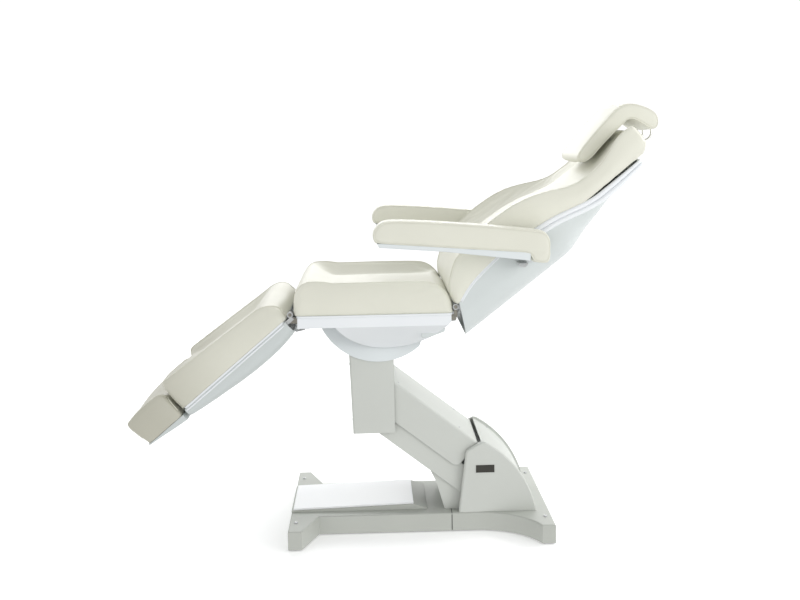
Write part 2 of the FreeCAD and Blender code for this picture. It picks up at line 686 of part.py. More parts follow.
def base_chassis():
    bar_y = foot_y - d.cover_wall * 2
    parts = [box(centred(foot_x), centred(d.plate_width / 2), (d.pad_height, plate_top))]
    for side in (-1, 1):
        middle = side * foot_x
        span = (middle - d.bar_width / 2, middle + d.bar_width / 2)
        parts.append(box(span, centred(bar_y), (d.pad_height, d.pad_height + d.bar_height)))
    keep("base_chassis", fuse(parts))


def foot_pads():
    pads = []
    for x, y in corners_of(foot_x, foot_y - d.pad_inset):
        pads.append(round_bar("Z", (x, y), (ZERO, d.pad_height), d.pad_radius))
    keep("foot_pads", group(pads))


def square(x, y, half, span):
    return box((x - half, x + half), (y - half, y + half), span)


def cover_screws():
    screws = []
    for x, y in corners_of(foot_x, foot_y - d.screw_inset):
        wide, narrow = d.screw_head_radius, d.screw_head_radius * 0.414
        head = prism("XY_Plane", [
            (x + wide, y - narrow), (x + wide, y + narrow), (x + narrow, y + wide), (x - narrow, y + wide),
            (x - wide, y + narrow), (x - wide, y - narrow), (x - narrow, y - wide), (x + narrow, y - wide)],
            (d.base_height, d.base_height + d.screw_head_height))
        shank = square(x, y, d.screw_radius, (d.pad_height + d.bar_height, d.base_height + d.screw_head_height / 2))
        screws.append(fuse([shank, head]))
    keep("cover_screws", group(screws))


def front_outline(inset):
    """Half of the front moulding's plan and its mirror half."""
    front = -base_half + inset
    inner = front + d.foot_tip - inset * 2
    half = [(front, foot_y - inset), (inner, foot_y - inset),
            (inner + d.front_flare, body_half - inset), (d.base_seam, body_half - inset)]
    mirror = [(x, -y) for x, y in reversed(half)]
    return half + mirror


def rear_outline(inset):
    rear = base_half - inset
    inner = rear - d.foot_tip + inset * 2
    rise = foot_y - body_half
    radius = (d.rear_flare * d.rear_flare + rise * rise) / (rise * 2)
    half = [(d.base_seam, body_half - inset), (inner - d.rear_flare, body_half - inset, radius, 1),
            (inner, foot_y - inset), (rear, foot_y - inset)]
    mirror = [(rear, -(foot_y - inset)), (inner, -(foot_y - inset), radius, 1),
              (inner - d.rear_flare, -(body_half - inset)), (d.base_seam, -(body_half - inset))]
    return half + mirror


def base_cover(outline, side):
    """A moulding that is open below, with holes for its two screws."""
    outer = prism("XY_Plane", outline(ZERO), (d.floor_gap, d.base_height))
    soften(outer, d.base_bevel, lambda e: lies_at(e, "Z", d.base_height)
           and not lies_at(e, "X", d.base_seam), "PartDesign::Chamfer")
    hollow = prism("XY_Plane", outline(d.cover_wall), (d.floor_gap - 1, d.base_height - d.cover_wall))
    tools = [hollow]
    for x, y in corners_of(foot_x, foot_y - d.screw_inset):
        if x.number * side > 0:
            hole = (d.base_height - d.cover_wall * 2, d.base_height + 1)
            tools.append(square(x, y, d.screw_radius + d.running_gap, hole))
    return outer, tools


inlet_low = d.pad_height + d.bar_height + 1
inlet_span = (inlet_low, inlet_low + d.inlet_height)


def base_covers():
    outer, tools = base_cover(front_outline, -1)
    keep("front_base_cover", cut(outer, tools))
    outer, tools = base_cover(rear_outline, 1)
    tools.append(box((hood_foot, d.hood_rear - d.hood_rim * 4), centred(d.apron_half + d.apron_wall),
                     (d.base_height - d.cover_wall * 2, d.base_height + 1)))
    tools.append(box((base_half - d.cover_wall * 2, base_half + 1), centred(d.inlet_half), inlet_span))
    keep("rear_base_cover", cut(outer, tools))
    body = box((base_half - d.foot_tip / 2, base_half + 1), centred(d.inlet_half - d.running_gap),
               (inlet_span[0] + d.running_gap, inlet_span[1] - d.running_gap))
    socket = box((base_half - d.foot_tip / 4, base_half + 2), centred(d.inlet_half / 2),
                 (inlet_span[0] + d.cover_wall, inlet_span[1] - d.cover_wall))
    keep("mains_inlet", cut(body, [socket]))


def ramp():
    low = d.base_height
    nose = -base_half
    end = d.ramp_lid_end
    tail = end + d.ramp_tail
    body = prism("XZ_Plane", [
        (nose, low), (tail, low), (tail, low + d.ramp_tail_height),
        (end, low + d.ramp_rise), (nose, low + d.ramp_front)], centred(d.ramp_width / 2))
    keep("ramp_body", body)
    slope = (d.ramp_rise - d.ramp_front) / (end - nose)
    start = nose + d.lid_inset
    start_z = low + d.ramp_front + slope * d.lid_inset
    lid = prism("XZ_Plane", [
        (start, start_z), (end, low + d.ramp_rise),
        (end, low + d.ramp_rise + d.lid_thickness), (start, start_z + d.lid_thickness)],
        centred(d.ramp_width / 2 - d.lid_inset))
    keep("ramp_lid", lid)


def hood_curve(inset):
    """The start, the end and the radius of the hood's curved back, drawn in by an inset."""
    run = d.apex_round * tan_of((d.hood_slope + d.hood_fall) / 2)
    apex_z = d.base_height + d.hood_corner_height + (d.hood_apex - d.hood_corner_x) * tan_of(d.hood_slope)
    start = (d.hood_apex + run * cos_of(d.hood_fall), apex_z - run * sin_of(d.hood_fall))
    across, down = d.hood_rear - start[0], start[1] - d.base_height
    sideways = down * cos_of(d.hood_fall) - across * sin_of(d.hood_fall)
    radius = (across * across + down * down) / (sideways * 2)
    start = (start[0] - inset * sin_of(d.hood_fall), start[1] - inset * cos_of(d.hood_fall))
    return start, (d.hood_rear - inset, d.base_height), radius - inset


def hood():
    low = d.base_height
    shoulder_z = low + d.hood_corner_height
    lean, slope = d.hood_front_angle, d.hood_slope
    run = d.shoulder_round * tan_of((lean - slope) / 2)
    front_end = (d.hood_corner_x - run * cos_of(lean), shoulder_z - run * sin_of(lean))
    top_start = (d.hood_corner_x + run * cos_of(slope), shoulder_z + run * sin_of(slope))
    run = d.apex_round * tan_of((slope + d.hood_fall) / 2)
    apex_z = shoulder_z + (d.hood_apex - d.hood_corner_x) * tan_of(slope)
    top_end = (d.hood_apex - run * cos_of(slope), apex_z - run * sin_of(slope))
    back_start, back_end, radius = hood_curve(ZERO)
    cheek = [(hood_foot, low), (*front_end, d.shoulder_round, -1), top_start,
             (*top_end, d.apex_round, -1), (*back_start, radius, -1), back_end]
    span = (d.hood_half, d.hood_half + d.cheek_thickness)
    for name, y_span, outer in (("hood_cheek_right", span, span[1]),
                                ("hood_cheek_left", both_sides(span), -span[1])):
        body = prism("XZ_Plane", cheek, y_span)
        soften(body, d.cheek_bevel, lambda e: lies_at(e, "Y", outer) and not lies_at(e, "Z", low),
               "PartDesign::Chamfer")
        keep(name, body)
    start, end, radius = hood_curve(d.hood_rim)
    inner_start, inner_end, inner_radius = hood_curve(d.hood_rim + d.hood_wall)
    back = prism("XZ_Plane", [(*start, radius, -1), end, (*inner_end, inner_radius, 1), inner_start],
                 centred(d.hood_half))
    keep("hood_back_cover", back)


def hood_apron():
    low = d.base_height
    rear = d.hood_corner_x
    wing = [(d.apron_foot, low), (rear, low), (rear, low + d.apron_height),
            (d.apron_top_x, low + d.apron_height), (d.apron_knee_x, low + d.apron_knee_height)]
    span = (d.apron_half - d.apron_wall, d.apron_half)
    sill = box((d.apron_foot, d.apron_foot + d.apron_wall), centred(d.apron_half), (low, low + d.apron_sill))
    wings = [prism("XZ_Plane", wing, span), prism("XZ_Plane", wing, both_sides(span))]
    keep("hood_apron", fuse(wings + [sill]))


def badge_plate():
    face = d.hood_half + d.cheek_thickness
    low = d.base_height + d.badge_low
    keep("badge_plate", box((d.badge_start, d.badge_start + d.badge_length),
                            (-(face + d.badge_thickness), -face), (low, low + d.badge_height)))


def pivot_brackets():
    plates = []
    x, top = d.rear_pivot_x, d.rear_pivot_z + d.link_spacing + d.bracket_reach
    wide = d.bracket_reach * 1.5
    side_plate = [(x - wide, plate_top), (x + wide, plate_top), (x + d.bracket_reach, top),
                  (x - d.bracket_reach, top)]
    inner, outer = d.bracket_half, d.bracket_half + d.bracket_plate
    flange_top = plate_top + d.bracket_plate
    for y_span, foot in (((inner, outer), (outer, outer + d.bracket_foot)),
                         (both_sides((inner, outer)), both_sides((outer, outer + d.bracket_foot)))):
        plate = fuse([prism("XZ_Plane", side_plate, y_span),
                      box((x - wide, x + wide), foot, (plate_top, flange_top))])
        bores = []
        for z in (d.rear_pivot_z, d.rear_pivot_z + d.link_spacing):
            bores.append(round_bar("Y", (x, z), (y_span[0] - 1, y_span[1] + 1), d.pin_radius))
        plates.append(cut(plate, bores))
    keep("pivot_brackets", group(plates))


def pivot_pins(name, x, z, frame):
    pins = []
    for height in (z, z + d.link_spacing):
        pins.append(round_bar("Y", (x, height), centred(d.pin_half), d.pin_radius))
    keep(name, group(pins), frame)


lift_pin_x = d.rear_pivot_x - (d.rear_pivot_z - d.lift_rod_z) * tan_of(d.lift_mid)


def lift_drive():
    root = lift_pin_x - d.lift_rod_length
    mouth = lift_pin_x - d.lift_tube_gap
    tube = (mouth - d.lift_tube_length, mouth)
    gearbox = (tube[0] - d.lift_gear_length, tube[0])
    motor = (gearbox[0] - d.lift_motor_length, gearbox[0])
    saddle = box(gearbox, centred(d.drive_box * 2), (plate_top, d.lift_rod_z))
    keep("lift_actuator", spindle_drive(tube, gearbox, motor, ZERO, d.lift_rod_z, [saddle]))
    keep("lift_rod", push_rod(root, lift_pin_x, ZERO, d.lift_rod_z))


def control_box():
    start = d.rear_pivot_x + d.bracket_reach * 1.5 + d.bracket_plate
    keep("control_box", box((start, start + d.control_length), centred(d.control_half),
                            (plate_top, plate_top + d.control_height)))


# Lift linkage
def link_solid(tie_half, extra):
    """Two bars, their hub tubes and a middle tie tube, in the link's own frame."""
    bar = (d.link_half - d.link_bar, d.link_half)
    length = (-d.link_length, ZERO)
    parts = [box(length, bar, centred(d.link_height / 2)),
             box(length, both_sides(bar), centred(d.link_height / 2))]
    for x in (ZERO, -d.link_length):
        parts.append(round_bar("Y", (x, ZERO), centred(d.link_half), d.link_height / 2))
    middle = -d.link_length / 2
    parts.append(box((middle - d.tie_radius, middle + d.tie_radius), centred(tie_half), centred(d.tie_radius)))
    bores = []
    for x in (ZERO, -d.link_length):
        bores.append(round_bar("Y", (x, ZERO), centred(d.link_half + 1), d.pin_radius + d.running_gap))
    return cut(fuse(parts + extra), bores)


def lift_links():
    reach = d.rear_pivot_z - d.lift_rod_z
    lever = lever_plate(d.lift_angle - d.lift_mid, 1, reach, d.lift_swing, centred(d.lever_half))
    keep("lower_link", link_solid(d.lower_half - d.arm_wall, [lever]), lower_frame)
    keep("upper_link", link_solid(d.upper_half - d.arm_wall, []), upper_frame)


def arm_covers():
    radius = d.arm_round
    outer = prism("XZ_Plane", [
        (-d.upper_end, -d.upper_drop), (-d.upper_start - radius, -d.upper_drop, radius, 1),
        (-d.upper_start, -d.upper_drop + radius), (-d.upper_start, d.upper_top),
        (-d.upper_end, d.upper_top)], centred(d.upper_half))
    soften(outer, d.arm_edge, lambda e: lies_at(e, "Z", d.upper_top) and runs_along(e, "X"))
    hollow = box((-d.upper_end - 1, -d.upper_start + 1), centred(d.upper_half - d.arm_wall),
                 (-d.upper_drop - 1, d.upper_top - d.arm_wall))
    keep("upper_arm_cover", cut(outer, [hollow]), upper_frame)
    outer = prism("XZ_Plane", [
        (-d.lower_end, -d.lower_drop), (-d.lower_start - radius, -d.lower_drop, radius, 1),
        (-d.lower_start, -d.lower_drop + radius), (-d.lower_start, d.lower_rise),
        (-d.lower_end, d.lower_rise)], centred(d.lower_half))
    inner = d.lower_half - d.arm_wall
    hollow = box((-d.lower_end - 1, -d.lower_start + 1), centred(inner),
                 (-d.lower_drop + d.arm_wall, d.lower_rise + 1))
    open_floor = box((-d.lower_floor, -d.lower_start + 1), centred(inner),
                     (-d.lower_drop - 1, -d.lower_drop + d.arm_wall * 2))
    keep("lower_arm_cover", cut(outer, [hollow, open_floor]), lower_frame)


# Column and tilt head
def column():
    plate = (d.bracket_half, d.bracket_half + d.bracket_plate)
    x_span = (-d.frame_front, d.frame_rear)
    z_span = (-d.frame_drop, d.tilt_z + d.axle_radius + d.leaf_thickness / 2)
    bridge_top = d.tilt_z - d.tilt_drop - d.drive_tube - d.slot_play * 4
    cover_inner = d.column_half - d.column_wall
    head_inner = d.head_half - d.head_wall
    cover_stud = (-d.stud_radius, d.column_rise - d.stud_radius * 2)
    head_stud = (d.stud_radius, d.head_top - d.stud_radius * 4)
    parts = []
    for side in (plate, both_sides(plate)):
        parts.append(box(x_span, side, z_span))
    parts.append(box(x_span, centred(d.bracket_half), (bridge_top - d.bracket_plate, bridge_top)))
    for at, reach in ((cover_stud, cover_inner), (head_stud, head_inner)):
        for side in ((plate[1], reach), both_sides((plate[1], reach))):
            parts.append(box((at[0] - d.stud_radius, at[0] + d.stud_radius), side,
                             (at[1] - d.stud_radius, at[1] + d.stud_radius)))
    bores = [round_bar("Y", (d.tilt_x, d.tilt_z), centred(plate[1] + 1), d.axle_radius)]
    for z in (ZERO, d.link_spacing):
        bores.append(round_bar("Y", (ZERO, z), centred(plate[1] + 1), d.pin_radius))
    keep("column_frame", cut(fuse(parts), bores), column_frame)
    stubs = [round_bar("Y", (d.tilt_x, d.tilt_z), side, d.axle_radius)
             for side in ((plate[0], d.axle_end), both_sides((plate[0], d.axle_end)))]
    keep("tilt_axles", group(stubs), column_frame)


def column_cover():
    def outline(wall, over):
        return [(-d.column_front + wall, -d.column_drop - over), (d.column_rear + over, -d.column_drop - over),
                (d.column_rear + over, d.column_rise + over),
                (-d.column_front - d.column_lean + wall, d.column_rise + over)]
    outer = prism("XZ_Plane", outline(ZERO, ZERO), centred(d.column_half))
    doc.recompute()
    soften(outer, d.column_round, lambda e: e.BoundBox.XMax < -d.column_front.number + 0.01
           and e.BoundBox.ZLength > d.column_drop.number)
    inner = prism("XZ_Plane", outline(d.column_wall, as_size(1)), centred(d.column_half - d.column_wall))
    keep("column_cover", cut(outer, [inner]), column_frame)


def tilt_head_cover():
    def outline(wall, over):
        radius = d.head_radius - wall
        top = d.head_top + over
        rise = d.head_z - top
        left = d.head_x - root_of(radius * radius - rise * rise)
        rear = d.head_rear - wall
        rear_z = d.head_z - root_of(radius * radius - (rear - d.head_x) * (rear - d.head_x))
        tail = rear + d.head_tail
        return [(left, top, radius, 1), (rear, rear_z), (tail, rear_z + d.head_tail_rise), (tail, top)]
    outer = prism("XZ_Plane", outline(ZERO, ZERO), centred(d.head_half))
    inner = prism("XZ_Plane", outline(d.head_wall, as_size(1)), centred(d.head_half - d.head_wall))
    shell = cut(outer, [inner])
    column_hole = box((-d.column_front - d.column_lean - d.running_gap, d.column_rear + d.running_gap),
                      centred(d.column_half + d.running_gap),
                      (d.head_z - d.head_radius - 1, d.column_rise + d.stud_radius))
    bay = d.head_half - d.stud_radius * 2
    front_bay = box((-d.head_radius, ZERO), centred(bay), (d.head_top - d.stud_radius * 4, d.head_top + 1))
    rear_bay = box((ZERO, d.head_radius), centred(bay), (d.column_rise + d.stud_radius, d.head_top + 1))
    keep("tilt_head_cover", cut(shell, [column_hole, front_bay, rear_bay]), column_frame)


tilt_rod_z = d.tilt_z - d.tilt_drop
tilt_pin_x = d.tilt_x + d.tilt_drop * tan_of(d.tilt_mid)


def tilt_drive():
    yoke_x = (-d.frame_front, -d.frame_front + d.bracket_plate)
    tube = (-d.frame_front - d.tilt_tube_reach, yoke_x[1])
    yoke = box(yoke_x, centred(d.bracket_half), (tilt_rod_z - d.drive_tube, tilt_rod_z + d.drive_tube))
    motor = (tube[0], tube[0] + d.tilt_motor_length)
    gearbox = (motor[1], motor[1] + d.tilt_gear_length)
    keep("tilt_actuator", spindle_drive(tube, gearbox, motor, ZERO, tilt_rod_z, [yoke]), column_frame)
    keep("tilt_rod", push_rod(tube[0] + d.tilt_rod_root, tilt_pin_x, ZERO, tilt_rod_z), column_frame)


# Seat
def seat_steel():
    rail = (d.rail_inner, d.rail_inner + d.rail_width)
    height = centred(d.rail_half)
    long = (-d.rail_front, d.rail_rear)
    sides = fuse([box(long, rail, height), box(long, both_sides(rail), height)])
    bore = round_bar("Y", (ZERO, ZERO), centred(rail[1] + 1), d.axle_radius + d.running_gap)
    parts = [cut(sides, [bore])]
    front = (-d.rail_front, -d.rail_front + d.rail_width)
    rear = (d.rail_rear / 2, d.rail_rear / 2 + d.rail_width)
    lever_bar = (d.frame_rear - d.tilt_x + d.slot_play * 6, d.frame_rear - d.tilt_x + d.slot_play * 6 + d.rail_width)
    shallow = (d.rail_half * 0.4, d.rail_half)
    parts.append(box(front, centred(d.rail_inner), shallow))
    parts.append(box(rear, centred(d.rail_inner), shallow))
    parts.append(box(lever_bar, centred(d.rail_inner), (ZERO, d.rail_half)))
    parts.append(box((ZERO, lever_bar[1]), centred(d.lever_half), (-d.lever_root, d.rail_half)))
    parts.append(lever_plate(d.tilt_mid, 1, d.tilt_drop, d.tilt_swing, centred(d.lever_half)))
    keep("seat_frame", fuse(parts), seat_frame)


def seat_pan():
    fall = d.skirt_drop - d.pan_low
    run = d.skirt_front + d.skirt_low
    front_radius = (run * run + fall * fall) / (fall * 2)
    rise = d.skirt_drop - d.skirt_rear_drop
    back_run = d.skirt_rear - d.skirt_low
    rear_radius = (back_run * back_run + rise * rise) / (rise * 2)
    side = prism("XZ_Plane", [
        (-d.seat_front, d.pan_top), (-d.seat_front, -d.pan_low),
        (-d.skirt_front, -d.pan_low, front_radius, 1),
        (d.skirt_low, -d.skirt_drop, rear_radius, 1),
        (d.skirt_rear, -d.skirt_rear_drop), (d.seat_rear, d.skirt_tail), (d.seat_rear, d.pan_top)],
        centred(d.seat_half))

    def section(wall, over):
        wide, narrow = d.seat_half - wall, d.skirt_half - wall
        half = [(wide, d.pan_top + over), (wide, -d.pan_low), (narrow, -d.skirt_drop - over)]
        return half + [(-y, z) for y, z in reversed(half)]
    length = (-d.seat_front - 1, d.seat_rear + 1)
    outer = common(side, prism("YZ_Plane", section(ZERO, ZERO), length))
    tray = box((-d.seat_front + d.pan_wall, d.seat_rear - d.pan_wall), centred(d.seat_half - d.pan_wall),
               (-d.pan_low + d.pan_wall, d.pan_top + 1))
    well = prism("YZ_Plane", section(d.pan_wall, as_size(1)), (-d.well_front, d.well_rear))
    bay = box((d.well_rear - 1, d.seat_rear + 1), centred(d.rear_bay), (-d.skirt_drop, d.pan_top + 1))
    block_half = d.seat_drive_y - d.drive_box - d.slot_play
    block = box((d.rail_rear / 2 + d.rail_width, d.rail_rear), centred(block_half), (-d.rail_half * 2, d.rail_half))
    front_bay = box((-d.seat_front + d.pan_wall * 1.5, -d.well_front + 1), centred(d.rear_bay),
                    (-d.pan_low - 1, d.pan_top + 1))
    lever_room = d.lever_half * 2
    lever_gate = box((-d.seat_front - 1, -d.well_front), (-d.seat_drive_y - lever_room, -d.seat_drive_y + lever_room),
                     (-d.pan_low - 1, d.pan_top / 2))
    keep("seat_pan", cut(outer, [tray, well, bay, front_bay, lever_gate]), seat_frame)
    keep("seat_rear_block", group([block]), seat_frame)


def seat_trim():
    plate = box((-d.seat_front + d.pan_wall * 1.5, d.seat_rear - d.pan_wall * 1.5),
                centred(d.seat_half - d.pan_wall * 1.5), (d.rail_half, d.pan_top))
    front, rear = -d.seat_front - d.trim_lip, d.seat_rear + d.trim_lip
    half = d.seat_half + d.trim_lip
    lip = prism("XY_Plane", [(front, -half), (rear, -half), (rear, half), (front, half)],
                (d.pan_top, d.pan_top + d.trim_height))
    soften(lip, d.trim_round, lambda e: runs_along(e, "Z"))
    keep("seat_trim", fuse([plate, lip]), seat_frame)


def fixed_leaf(eye_x, eye_z, x_span, z_span):
    """A hinge leaf on the seat pan with its eye and pin, one for each side."""
    riser_x = (eye_x - d.hinge_eye * 0.55, eye_x + d.hinge_eye * 0.55)
    leaves = []
    half = d.leaf_thickness / 2
    for side in (1, -1):
        y = (d.leaf_y - half, d.leaf_y + half)
        pin_y = (d.leaf_y - half * 1.5, d.leaf_y + half * 4)
        if side < 0:
            y, pin_y = both_sides(y), both_sides(pin_y)
        leaves.append(fuse([
            box(x_span, y, z_span),
            box(riser_x, y, (z_span[0] + d.hinge_eye, eye_z)),
            round_bar("Y", (eye_x, eye_z), y, d.hinge_eye),
            round_bar("Y", (eye_x, eye_z), pin_y, d.hinge_pin)]))
    return group(leaves)


def seat_hinges():
    low = d.pan_top - d.hinge_eye * 2
    neck = (-d.leg_hinge_x, -d.seat_front)
    keep("leg_hinge_pins", fixed_leaf(-d.leg_hinge_x, d.leg_hinge_z, neck, (low, d.pan_top - 1)), seat_frame)
    neck = (d.seat_rear, d.back_hinge_x)
    keep("back_hinge_pins", fixed_leaf(d.back_hinge_x, d.back_hinge_z, neck, (low, d.pan_top - 1)), seat_frame)


back_pin_x = d.back_hinge_x + (d.back_hinge_z + d.seat_drive_z) * tan_of(d.back_mid)
leg_pin_x = -d.leg_hinge_x + (d.leg_hinge_z + d.seat_drive_z) * tan_of(d.leg_mid)


def seat_drives():
    z = -d.seat_drive_z
    arm_x = (d.drive_arm_x, d.drive_arm_x + d.drive_arm_width)
    arm_y = (d.seat_drive_y, d.rail_inner)
    arm_z = (-d.seat_drive_z - d.drive_tube, -d.rail_half + d.leaf_thickness)
    arm = box(arm_x, arm_y, arm_z)
    tube = (-d.drive_arm_x, back_pin_x - d.back_tube_gap)
    gearbox = (tube[0] - d.back_gear_length, tube[0])
    motor = (gearbox[0] - d.back_motor_length, gearbox[0])
    keep("back_actuator", spindle_drive(tube, gearbox, motor, d.seat_drive_y, z, [arm]), seat_frame)
    keep("back_rod", push_rod(back_pin_x - d.back_rod_length, back_pin_x, d.seat_drive_y, z), seat_frame)
    arm = box(arm_x, both_sides(arm_y), arm_z)
    tube = (leg_pin_x + d.leg_tube_gap, arm_x[1])
    gearbox = (tube[1], tube[1] + d.leg_gear_length)
    motor = (gearbox[1], gearbox[1] + d.leg_motor_length)
    keep("leg_actuator", spindle_drive(tube, gearbox, motor, -d.seat_drive_y, z, [arm]), seat_frame)
    keep("leg_rod", push_rod(leg_pin_x + d.leg_rod_length, leg_pin_x, -d.seat_drive_y, z), seat_frame)


# Cushions, lofted through sections whose bends are drawn in straight runs
SOFT_RUNS = 3


def chords(a, b, c, count):
    """The bend through three points, drawn as straight runs of equal turn."""
    points = Part.Arc(Vector(*a), Vector(*b), Vector(*c)).discretize(count + 1)
    return [Part.makeLine(start, end) for start, end in zip(points, points[1:])]


def cushion_section(x, base, half, shoulder, crest, hollow, drawn, bolster):
    """A section across a cushion: bulging sides, side bolsters and a hollow between them."""
    foot = half - drawn
    crest_y = half - bolster * 0.45
    inner_y = half - bolster * 1.25
    turn_y = crest_y + (half - crest_y) * 0.74
    turn_z = shoulder + (crest - shoulder) * 0.76
    slope_y = (crest_y + inner_y) / 2
    slope_z = (crest + hollow) / 2 + (crest - hollow) * 0.10
    side_z = (base + shoulder) / 2
    edges = [Part.makeLine(Vector(x, -foot, base), Vector(x, foot, base))]
    right = [((foot, base), (half + drawn * 0.3, side_z), (half, shoulder)),
             ((half, shoulder), (turn_y, turn_z), (crest_y, crest)),
             ((crest_y, crest), (slope_y, slope_z), (inner_y, hollow))]
    for a, b, c in right:
        edges.extend(chords((x, *a), (x, *b), (x, *c), SOFT_RUNS))
    edges.append(Part.makeLine(Vector(x, inner_y, hollow), Vector(x, -inner_y, hollow)))
    for a, b, c in reversed(right):
        edges.extend(chords((x, -c[0], c[1]), (x, -b[0], b[1]), (x, -a[0], a[1]), SOFT_RUNS))
    return Part.Wire(edges)


def loft_solid(wires):
    return Part.makeLoft(wires, True, True)


def soft_piece(name, shape, frame):
    obj = doc.addObject("Part::Feature", helper_name("soft"))
    obj.Shape = shape
    keep(name, obj, frame)


def between(a, b, share):
    return a + (b - a) * share


def seat_cushion():
    base = (d.pan_top + d.trim_height + d.soft_gap).number
    half = d.seat_half.number
    crest = base + d.seat_crest.number - d.soft_gap.number
    hollow = base + d.seat_hollow.number
    front = -(d.seat_front + d.seat_overhang).number
    rear = (d.seat_rear + d.trim_lip).number
    roll = d.seat_overhang.number
    drawn = d.trim_lip.number * 2
    bolster = half * 0.26
    # Place, drop of the bolsters, share of the hollow that is filled, and draw-in of the plan
    stations = ((front, 0.55, 1.0, roll * 2), (front + roll * 0.5, 0.26, 1.0, roll), (front + roll * 2, 0.06, 1.0, 0.0),
                (front + roll * 7, 0.0, 0.6, 0.0), (between(front, rear, 0.5), 0.02, 0.0, 0.0),
                (rear - roll * 5, 0.07, 0.0, 0.0), (rear - roll * 1.6, 0.42, 0.6, roll * 0.4), (rear, 0.78, 0.9, roll))
    wires = []
    for x, drop, filled, inset in stations:
        top = crest - (crest - base) * drop
        low = min(between(hollow, top, filled), top - 2.0)
        shoulder = base + (top - base) * 0.62
        wires.append(cushion_section(x, base, half - inset, shoulder, top, low, drawn, bolster))
    soft_piece("seat_cushion", loft_solid(wires), seat_frame)


def leg_cushion():
    base = d.soft_gap.number
    half = d.leg_half.number + d.trim_lip.number
    start, end = -d.leg_cushion_start.number, -d.leg_cushion_end.number
    roll = (end - start) / 24
    drawn = d.trim_lip.number * 2
    bolster = half * 0.26
    stations = ((start, 0.55, 1.0, 18.0), (start + roll * 0.5, 0.22, 1.0, 8.0), (start + roll * 2, 0.02, 0.7, 0.0),
                (start + roll * 6, 0.0, 0.0, 0.0), (end - roll * 4, 0.01, 0.0, 0.0),
                (end - roll * 1.2, 0.12, 0.7, 2.0), (end, 0.60, 0.9, 14.0))
    wires = []
    for x, drop, filled, inset in stations:
        share = min(max((x - start) / (end - start), 0.0), 1.0)
        full = between(d.leg_crest_start.number, d.leg_crest_end.number, share)
        top = base + full * (1 - drop)
        low = min(between(top - d.leg_hollow.number, top, filled), top - 2.0)
        shoulder = base + (top - base) * 0.66
        wires.append(cushion_section(x, base, half - inset, shoulder, top, low, drawn, bolster))
    soft_piece("leg_cushion", loft_solid(wires), leg_frame)


def back_seam():
    """The bends of the seam between the back shell and its trim."""
    return [(d.seam_start_x, d.seam_start_z), (d.seam_low_x, d.seam_low_z), (d.seam_mid_x, d.seam_mid_z),
            (d.seam_high_x, d.seam_high_z), (d.seam_neck_x, d.seam_neck_z), (d.back_end, d.seam_end_z)]


def seam_height(x):
    """Height of the seam at a place along the back."""
    bends = [(a.number, b.number) for a, b in back_seam()]
    for (x0, z0), (x1, z1) in zip(bends, bends[1:]):
        if x <= x1 or (x1, z1) == bends[-1]:
            return z0 + (z1 - z0) * (x - x0) / (x1 - x0)
    return bends[-1][1]


def back_cushion():
    lift = (d.trim_height + d.soft_gap).number
    half = d.back_half.number + d.trim_lip.number
    drawn = d.trim_lip.number * 2
    bolster = half * 0.28
    start, end = d.back_cushion_start.number, d.back_cushion_end.number
    lumbar, neck, top_roll = d.lumbar_crest.number, d.neck_crest.number, d.top_crest.number
    foot = d.back_foot_crest.number
    low_bend, mid_bend = d.seam_low_x.number, d.seam_mid_x.number
    high_bend, neck_bend = d.seam_high_x.number, d.seam_neck_x.number
    trim_end = d.back_end.number
    def drawn_in(x):
        return d.back_top_draw.number * max(x - high_bend, 0.0) / (trim_end - high_bend)

    # Place, crest height, share of the hollow that is filled, and draw-in of the plan
    stations = ((start, foot * 0.66, 0.9, 14.0), (start + 8, foot * 0.94, 0.7, 5.0),
                (low_bend, between(foot, lumbar, 0.66), 0.2, 0.0), (mid_bend, lumbar, 0.0, 0.0),
                (between(mid_bend, high_bend, 0.5), lumbar, 0.0, 0.0),
                (high_bend, between(neck, lumbar, 0.76), 0.0, 0.0),
                (between(high_bend, neck_bend, 0.5), between(neck, lumbar, 0.36), 0.15, 0.0),
                (neck_bend, neck, 0.4, 0.0), (between(neck_bend, trim_end, 0.5), between(neck, top_roll, 0.34), 0.55, 0.0),
                (trim_end, top_roll, 0.6, 3.0))
    wires = []
    for x, crest, filled, inset in stations:
        base = seam_height(max(x, d.seam_start_x.number)) + lift
        thick = crest - base
        deep = min(d.back_hollow.number, thick * 0.45)
        hollow = min(crest - deep * (1 - filled), crest - 2.0)
        shoulder = base + thick * 0.66
        wires.append(cushion_section(x, base, half - inset - drawn_in(x), shoulder, crest, hollow, drawn, bolster))
    base = seam_height(trim_end) + lift
    end_half = half - d.back_top_draw.number - 6.0
    ends = ((between(trim_end, end, 0.6), base + 6, top_roll - 3, top_roll - 18), (end, base + 26, top_roll - 24, top_roll - 28))
    for x, low, high, hollow in ends:
        shoulder = low + (high - low) * 0.6
        wires.append(cushion_section(x, low, end_half - (x - trim_end) * 0.3, shoulder, high, hollow, drawn, bolster))
    solid = loft_solid(wires)
    bores = []
    for y in (d.bail_y.number, -d.bail_y.number):
        bore = Part.makeCylinder(d.bail_radius.number + 0.5, end, Vector(bail_root().number - 6, y, d.bail_z.number),
                                 Vector(1, 0, 0))
        bores.append(bore)
    soft_piece("back_cushion", solid.cut(bores), back_frame)


pillow_bend = d.pillow_start + d.pillow_run
pillow_reach = pillow_bend + d.pillow_over


def bail_root():
    return pillow_reach - d.pillow_thick - d.bail_length


